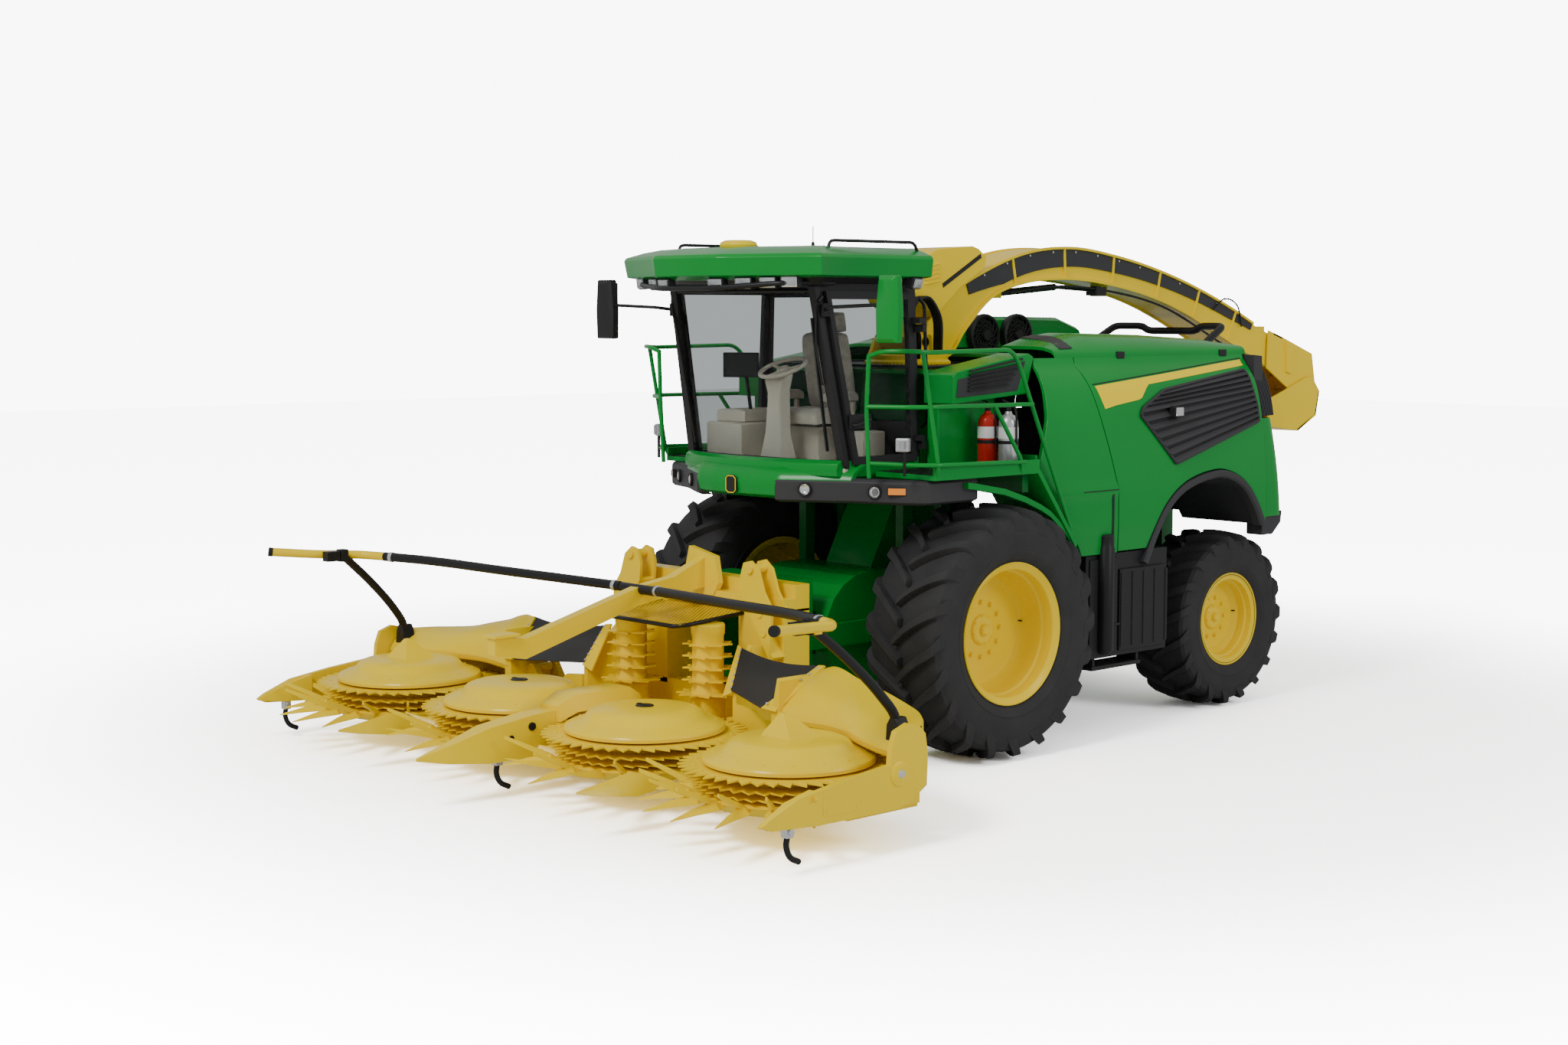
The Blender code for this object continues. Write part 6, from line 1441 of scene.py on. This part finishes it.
def walkway(word, side):
    """Platform with a kick strip, its sloping rear skirt, and pipe rails with rounded corners."""
    slope = [(-0.8, 2.24), (0.38, 2.24), (0.655, 1.875), (0.85, 1.62)]
    under = [(0.825, 1.585), (0.625, 1.85), (0.36, 2.2), (-0.8, 2.2)]
    floor = slab(slope + under, "X", 0.93, 1.55)
    kick = [block((1.525, 1.55), (-0.8, 0.38), (2.24, 2.31)), block((0.98, 1.52), (0.36, 0.385), (2.245, 2.34))]
    fender = [sheet(np.array([[(x, y, z) for x in (1.46, 1.535)] for y,
                              z in ((-0.42, 2.17), (-0.31, 2.155), (0.0, 2.1), (0.23, 2.03), (0.42, 1.955),
                                    (0.53, 1.9), (0.7, 1.77), (0.85, 1.61))]), (0, 0, -0.05))]
    rails = [[(1.2, -1.155, 3.12), (1.34, -1.15, 3.16), (1.545, -1.03, 3.16), (1.585, -0.9, 3.15),
              (1.585, -0.02, 3.16), (1.575, 0.08, 3.08), (1.53, 0.79, 1.72), (1.53, 0.8, 1.66)],
             [(1.19, -1.16, 2.75), (1.5, -0.98, 2.75), (1.585, -0.86, 2.75), (1.575, 0.262, 2.74)],
             [(1.19, -1.13, 2.33), (1.5, -0.92, 2.32), (1.585, -0.8, 2.32), (1.565, 0.2, 2.3)],
             [(1.572, -0.96, 3.155), (1.575, -0.79, 2.3), (1.53, -0.77, 2.22)],
             [(1.21, -1.155, 3.13), (1.19, -1.16, 2.75), (1.19, -1.13, 2.22)],
             [(1.58, -0.19, 2.75), (1.565, 0.15, 2.31), (1.54, 0.17, 2.22)]]
    pipes = [tube(filleted(line, 0.07), 0.017, 12) for line in rails]
    name = "walkway_" + word
    piece(name + "_frame", "machine", green, *on(side, floor, *kick, *fender, *pipes), bevel=0.004, angle=40,
          replaces=[name])
    x, y = np.meshgrid([0.95, 1.52], [-0.79, 0.36], indexing="ij")
    piece(name + "_tread", "machine", deck_mesh, sided(sheet(np.stack([x, y, 2.247 + 0 * x], -1),
                                                             (0, 0, -0.004)), side))
    box_lamp = lamp((1.42, -1.02, 2.47), (0.45, -0.9, 0.0), 0.1, 0.1, 0.06)
    for shape, label, look in zip(box_lamp, ("case", "bowl", "lens"), (silver_paint, lamp_bowl, lamp_glass)):
        piece("platform_lamp_%s_%s" % (label, word), "machine", look, sided(shape, side), bevel=0.008)
    piece("platform_lamp_post_" + word, "machine", black_steel,
          sided(tube([(1.42, -0.99, 2.44), (1.42, -0.99, 2.24)], 0.012, 8, up=(0, 1, 0)), side))
    arm = tube(filleted([(0.872, -1.275, 3.46), (1.0, -1.35, 3.48), (1.6, -1.36, 3.5)], 0.05), 0.014, 10)
    head = [lofted([[(1.515 + k, -1.4 + y, 3.225 + k), (1.725 - k, -1.4 + y, 3.225 + k),
                     (1.735 - k, -1.4 + y, 3.46), (1.715 - k, -1.4 + y, 3.705 - k),
                     (1.54 + k, -1.4 + y, 3.705 - k), (1.51 + k, -1.4 + y, 3.46)] for y,
                    k in ((-0.01, 0.03), (0.012, 0.0), (0.065, 0.0), (0.075, 0.01))])]
    piece("mirror_head_" + word, "machine", green if side > 0 else black, *on(side, *head), bevel=0.012,
          replaces=["mirror_" + word])
    piece("mirror_arm_" + word, "machine", black_steel, sided(arm, side),
          sided(block((0.864, 0.89), (-1.31, -1.24), (3.41, 3.51)), side), bevel=0.004)
    face = block((1.535, 1.705), (-1.325, -1.318), (3.25, 3.68))
    piece("mirror_face_" + word, "machine", mirror_glass, sided(face, side), bevel=0.004)


def extinguishers():
    """Two bottles with valves, hoses and straps on the left platform."""
    for label, x, y, look in (("red", 1.2, 0.16, red_paint), ("silver", 1.38, 0.2, silver_paint)):
        bottle = turned([(0, 2.68), (0.025, 2.68), (0.03, 2.66), (0.055, 2.645), (0.074, 2.61), (0.077, 2.57),
                         (0.077, 2.285), (0.07, 2.262), (0, 2.26)], 40, centre=(x, y, 0))
        piece("bottle_" + label, "machine", look, bottle)
        head = [turned([(0, 2.735), (0.018, 2.735), (0.022, 2.68), (0, 2.68)], 20, centre=(x, y, 0)),
                tube(filleted([(x, y, 2.72), (x + 0.07, y - 0.01, 2.735), (x + 0.09, y - 0.01, 2.66),
                               (x + 0.085, y, 2.4)], 0.04), 0.009, 8),
                tube([(x, y, 2.745), (x - 0.06, y, 2.765)], 0.008, 8),
                turned([(0.076, 2.43), (0.081, 2.43), (0.081, 2.455), (0.076, 2.455)], 40, centre=(x, y, 0),
                       ring=True)]
        piece("valve_" + label, "machine", black, *head)
        label_wrap = turned([(0.0765, 2.47), (0.0785, 2.47), (0.0785, 2.56), (0.0765, 2.56)], 40,
                            centre=(x, y, 0), ring=True)
        piece("bottle_label_" + label, "machine", white_label, label_wrap)


def cab():
    cab_glass_panes()
    cab_shell()
    roof()
    interior()
    bumper()
    for word, side in SIDES:
        walkway(word, side)
    extinguishers()


# ---------------------------------------------------------------- spout
ARM_TOP = [(0.36, 3.24), (0.5, 3.35), (0.83, 3.62), (1.18, 3.78), (1.75, 3.95), (2.31, 3.995), (2.93, 3.93),
           (3.75, 3.76), (4.63, 3.48), (5.42, 3.15)]
ARM_FOOT = [(0.5, 3.08), (0.74, 3.08), (0.95, 3.3), (1.32, 3.59), (1.68, 3.69), (2.16, 3.73), (2.94, 3.67),
            (3.55, 3.55), (4.64, 3.16), (5.26, 2.91)]


def arm_lines(count):
    return eased(ARM_TOP, count), eased(ARM_FOOT, count)


def spout():
    """Curved crop spout: box arm with flanged seams, side strip, sensor cover, end flaps, turret ring and cradle."""
    top, foot = arm_lines(72)
    rows = []
    for (y0, z0), (y1, z1) in zip(top, foot):
        rows.append([(-0.21, y0, z0), (0.21, y0, z0), (0.21, y1, z1), (-0.21, y1, z1)])
    ribs = []
    for k in (18, 27, 36, 45, 53, 61):
        a, b = np.array((0, *top[k])), np.array((0, *foot[k]))
        step = (top[k + 1] - top[k]) / np.linalg.norm(top[k + 1] - top[k]) * 0.012
        for s in (1, -1):
            ribs.append(sided(lofted([[(0.205, a[1] - d[0], a[2] - d[1]), (0.232, a[1] - d[0], a[2] - d[1]),
                                       (0.232, b[1] - d[0], b[2] - d[1]), (0.205, b[1] - d[0], b[2] - d[1])]
                                      for d in (step, -step)]), s))
    rim_band = []
    for line in (top[:66], foot[:66]):
        path = np.stack([np.zeros(len(line)), line[:, 0], line[:, 1]], 1)
        for s in (1, -1):
            rim_band.append(carried(path + (s * 0.222, 0, 0), [(-0.014, -0.012), (0.014, -0.012),
                                                               (0.014, 0.012), (-0.014, 0.012)]))
    lug = both(turned([(0, 0.262), (0.045, 0.262), (0.05, 0.255), (0.05, 0.205), (0, 0.205)], 32, "X",
                      (0, 0.44, 3.2)))
    piece("spout_arm_shell", "spout", yellow, lofted(rows), *ribs, *rim_band, *lug, bevel=0.003, angle=40,
          replaces=["spout_arm"])
    strip_rows = []
    for k in range(10, 66):
        a, b = top[k], foot[k]
        d = (b - a) / np.linalg.norm(b - a)
        wide = np.interp(k, [10, 16, 60, 66], [0.1, 0.17, 0.085, 0.05])
        strip_rows.append([(0.214, *(a + d * 0.014)), (0.214, *(a + d * (0.014 + wide)))])
    side_strip = sheet(np.array(strip_rows), (0.008, 0, 0))
    heads = [(0.222, *(top[k] + (foot[k] - top[k]) * 0.13)) for k in range(13, 65, 4)]
    piece("spout_side_strips", "spout", charcoal, *both(side_strip), bevel=0.002)
    piece("spout_bolts", "spout", zinc, *both(bolts(heads, (1, 0, 0), 0.011, 0.007)))
    ram = [bar((0.0, 1.55, 3.6), (0.0, 2.35, 3.66), 0.03), bar((0.0, 2.35, 3.66), (0.0, 2.95, 3.63), 0.016)]
    low = [block((-0.05, 0.05), (1.5, 1.6), (3.56, 3.68)), block((-0.05, 0.05), (2.9, 3.02), (3.58, 3.68))]
    loops = [tube([(0.19, 1.55, 3.6), (0.2, 2.1, 3.66), (0.2, 2.9, 3.62), (0.19, 3.6, 3.5), (0.18, 4.6, 3.13),
                   (0.18, 5.1, 2.94)], 0.011, 8, count=50),
             tube([(0.235, 4.35, 3.46), (0.245, 4.5, 3.56), (0.24, 4.72, 3.5), (0.235, 4.8, 3.3)], 0.008, 8,
                  up=(1, 0, 0), count=24)]
    eye = [moved(turned([(0, -0.03), (0.055, -0.03), (0.06, 0.0), (0.045, 0.05), (0, 0.05)], 32),
                 (0.16, 2.72, 3.62)), block((0.1, 0.22), (2.66, 2.8), (3.585, 3.66))]
    piece("spout_rams", "spout", black_steel, *ram, *eye, *loops, bevel=0.003)
    piece("spout_ram_feet", "spout", yellow, *low, bevel=0.004)
    outline = [(0.33, 3.52), (0.29, 3.6), (0.285, 3.8), (0.34, 3.86), (0.56, 3.955), (0.98, 3.985),
               (1.05, 3.965), (1.145, 3.9), (1.12, 3.8), (0.83, 3.645), (0.52, 3.4)]
    cover = [slab(outline, "X", -0.285, 0.285)]
    fins = [sided(slab([(0.4 + 0.004 * k, 3.66 + 0.035 * k), (0.57, 3.66 + 0.035 * k + 0.03),
                        (0.57, 3.672 + 0.035 * k + 0.03), (0.4 + 0.004 * k, 3.672 + 0.035 * k)], "X", 0.285,
                       0.296), s) for k in range(5) for s in (1, -1)]
    piece("sensor_cover_shell", "spout", yellow, *cover, *fins, bevel=0.022, segments=3,
          replaces=["sensor_cover"])
    band = both(slab([(0.62, 3.64), (1.08, 3.89), (1.07, 3.925), (0.61, 3.675)], "X", 0.2855, 0.2885))
    piece("sensor_cover_bands", "spout", black, *band)
    ring = turned([(0.2525, 3.005), (0.345, 3.005), (0.352, 3.015), (0.352, 3.04), (0.335, 3.055),
                   (0.335, 3.092), (0.325, 3.1), (0.2525, 3.1)], 72, centre=(0, 0.5, 0), ring=True)
    teeth = toothed(0.358, 0.34, 72, 3.018, 3.04, 0.3, 0.1)
    lugs = both(slab([(0.28, 3.06), (0.64, 3.06), (0.54, 3.22), (0.5, 3.26), (0.4, 3.26), (0.36, 3.22)], "X",
                     0.228, 0.262))
    piece("turret_ring", "spout_turret", yellow, ring, moved(teeth, (0, 0.5, 0)), *lugs, bevel=0.003,
          replaces=["spout_turret"])
    upper = [slab([(5.24, 3.262), (5.47, 3.195), (5.97, 3.03), (6.04, 2.7), (5.68, 2.64), (5.22, 2.9)], "X",
                  0.224, 0.24), slab([(5.32, 3.239), (5.47, 3.195), (5.97, 3.03), (5.955, 3.018),
                                      (5.463, 3.178), (5.317, 3.222)], "X", -0.24, 0.24),
             slab([(5.97, 3.03), (6.04, 2.7), (6.022, 2.7), (5.953, 3.02)], "X", -0.24, 0.24)]
    upper += [sided(upper[0], -1)]
    upper += both(slab([(5.5, 3.16), (5.62, 3.12), (5.6, 2.84), (5.52, 2.86)], "X", 0.24, 0.262))
    upper += [block((-0.06, 0.06), (5.3, 5.42), (3.22, 3.3)), block((-0.06, 0.06), (5.86, 5.94), (3.02, 3.1))]
    piece("flap_upper_shell", "deflector_upper", yellow, *upper, bevel=0.003, replaces=["deflector_upper"])
    ram2 = [bar((0.0, 5.36, 3.275), (0.0, 5.9, 3.085), 0.022)]
    piece("flap_ram", "deflector_upper", black_steel, *ram2)
    lower = [slab([(5.86, 2.8), (5.95, 2.8), (6.075, 2.66), (6.02, 2.42), (5.72, 2.28), (5.23, 2.34),
                   (5.22, 2.6)], "X", 0.25, 0.266), slab([(5.95, 2.8), (6.075, 2.66), (6.057, 2.68),
                                                          (5.94, 2.8)], "X", -0.266, 0.266),
             slab([(6.075, 2.66), (6.02, 2.42), (6.003, 2.435), (6.057, 2.66)], "X", -0.266, 0.266),
             slab([(6.02, 2.42), (5.72, 2.28), (5.71, 2.298), (6.003, 2.435)], "X", -0.266, 0.266),
             slab([(5.72, 2.28), (5.23, 2.34), (5.23, 2.358), (5.71, 2.298)], "X", -0.266, 0.266)]
    lower += [sided(lower[0], -1)]
    piece("flap_lower_shell", "deflector_lower", yellow, *lower, bevel=0.003, replaces=["deflector_lower"])
    hoop = tube(filleted([(0.66, 3.56, 3.1), (0.62, 3.98, 3.31), (0.34, 4.03, 3.31), (0.27, 4.03, 3.265),
                          (-0.27, 4.03, 3.265), (-0.34, 4.03, 3.31), (-0.62, 3.98, 3.31), (-0.66, 3.56, 3.1)],
                         0.06), 0.034, 14)
    feet = both(block((0.58, 0.74), (3.49, 3.61), (3.075, 3.15)))
    piece("cradle_hoop", "machine", black_steel, hoop, *feet, bevel=0.006, angle=40, replaces=["spout_cradle"])


def repaint():
    """Finishes for the frame's own solids that stay in view."""
    looks = {"green_paint": green, "dark_green_paint": deep_green, "yellow_paint": yellow, "charcoal": charcoal,
             "black_tube": black_steel, "tyre_rubber": tyre_rubber, "clear_glass": cab_glass,
             "beige_cloth": cab_lining, "bare_steel": zinc}
    for part in frame["record"]["subparts"]:
        mesh = frame["nodes"][part["node"]].data
        mesh.materials.clear()
        mesh.materials.append(black if part["node"] in ("cab_frame",
                                                        "cab_door") else looks[part["material_slot"]])


studio()
camera()
wheels()
header()
body()
cab()
spout()
repaint()
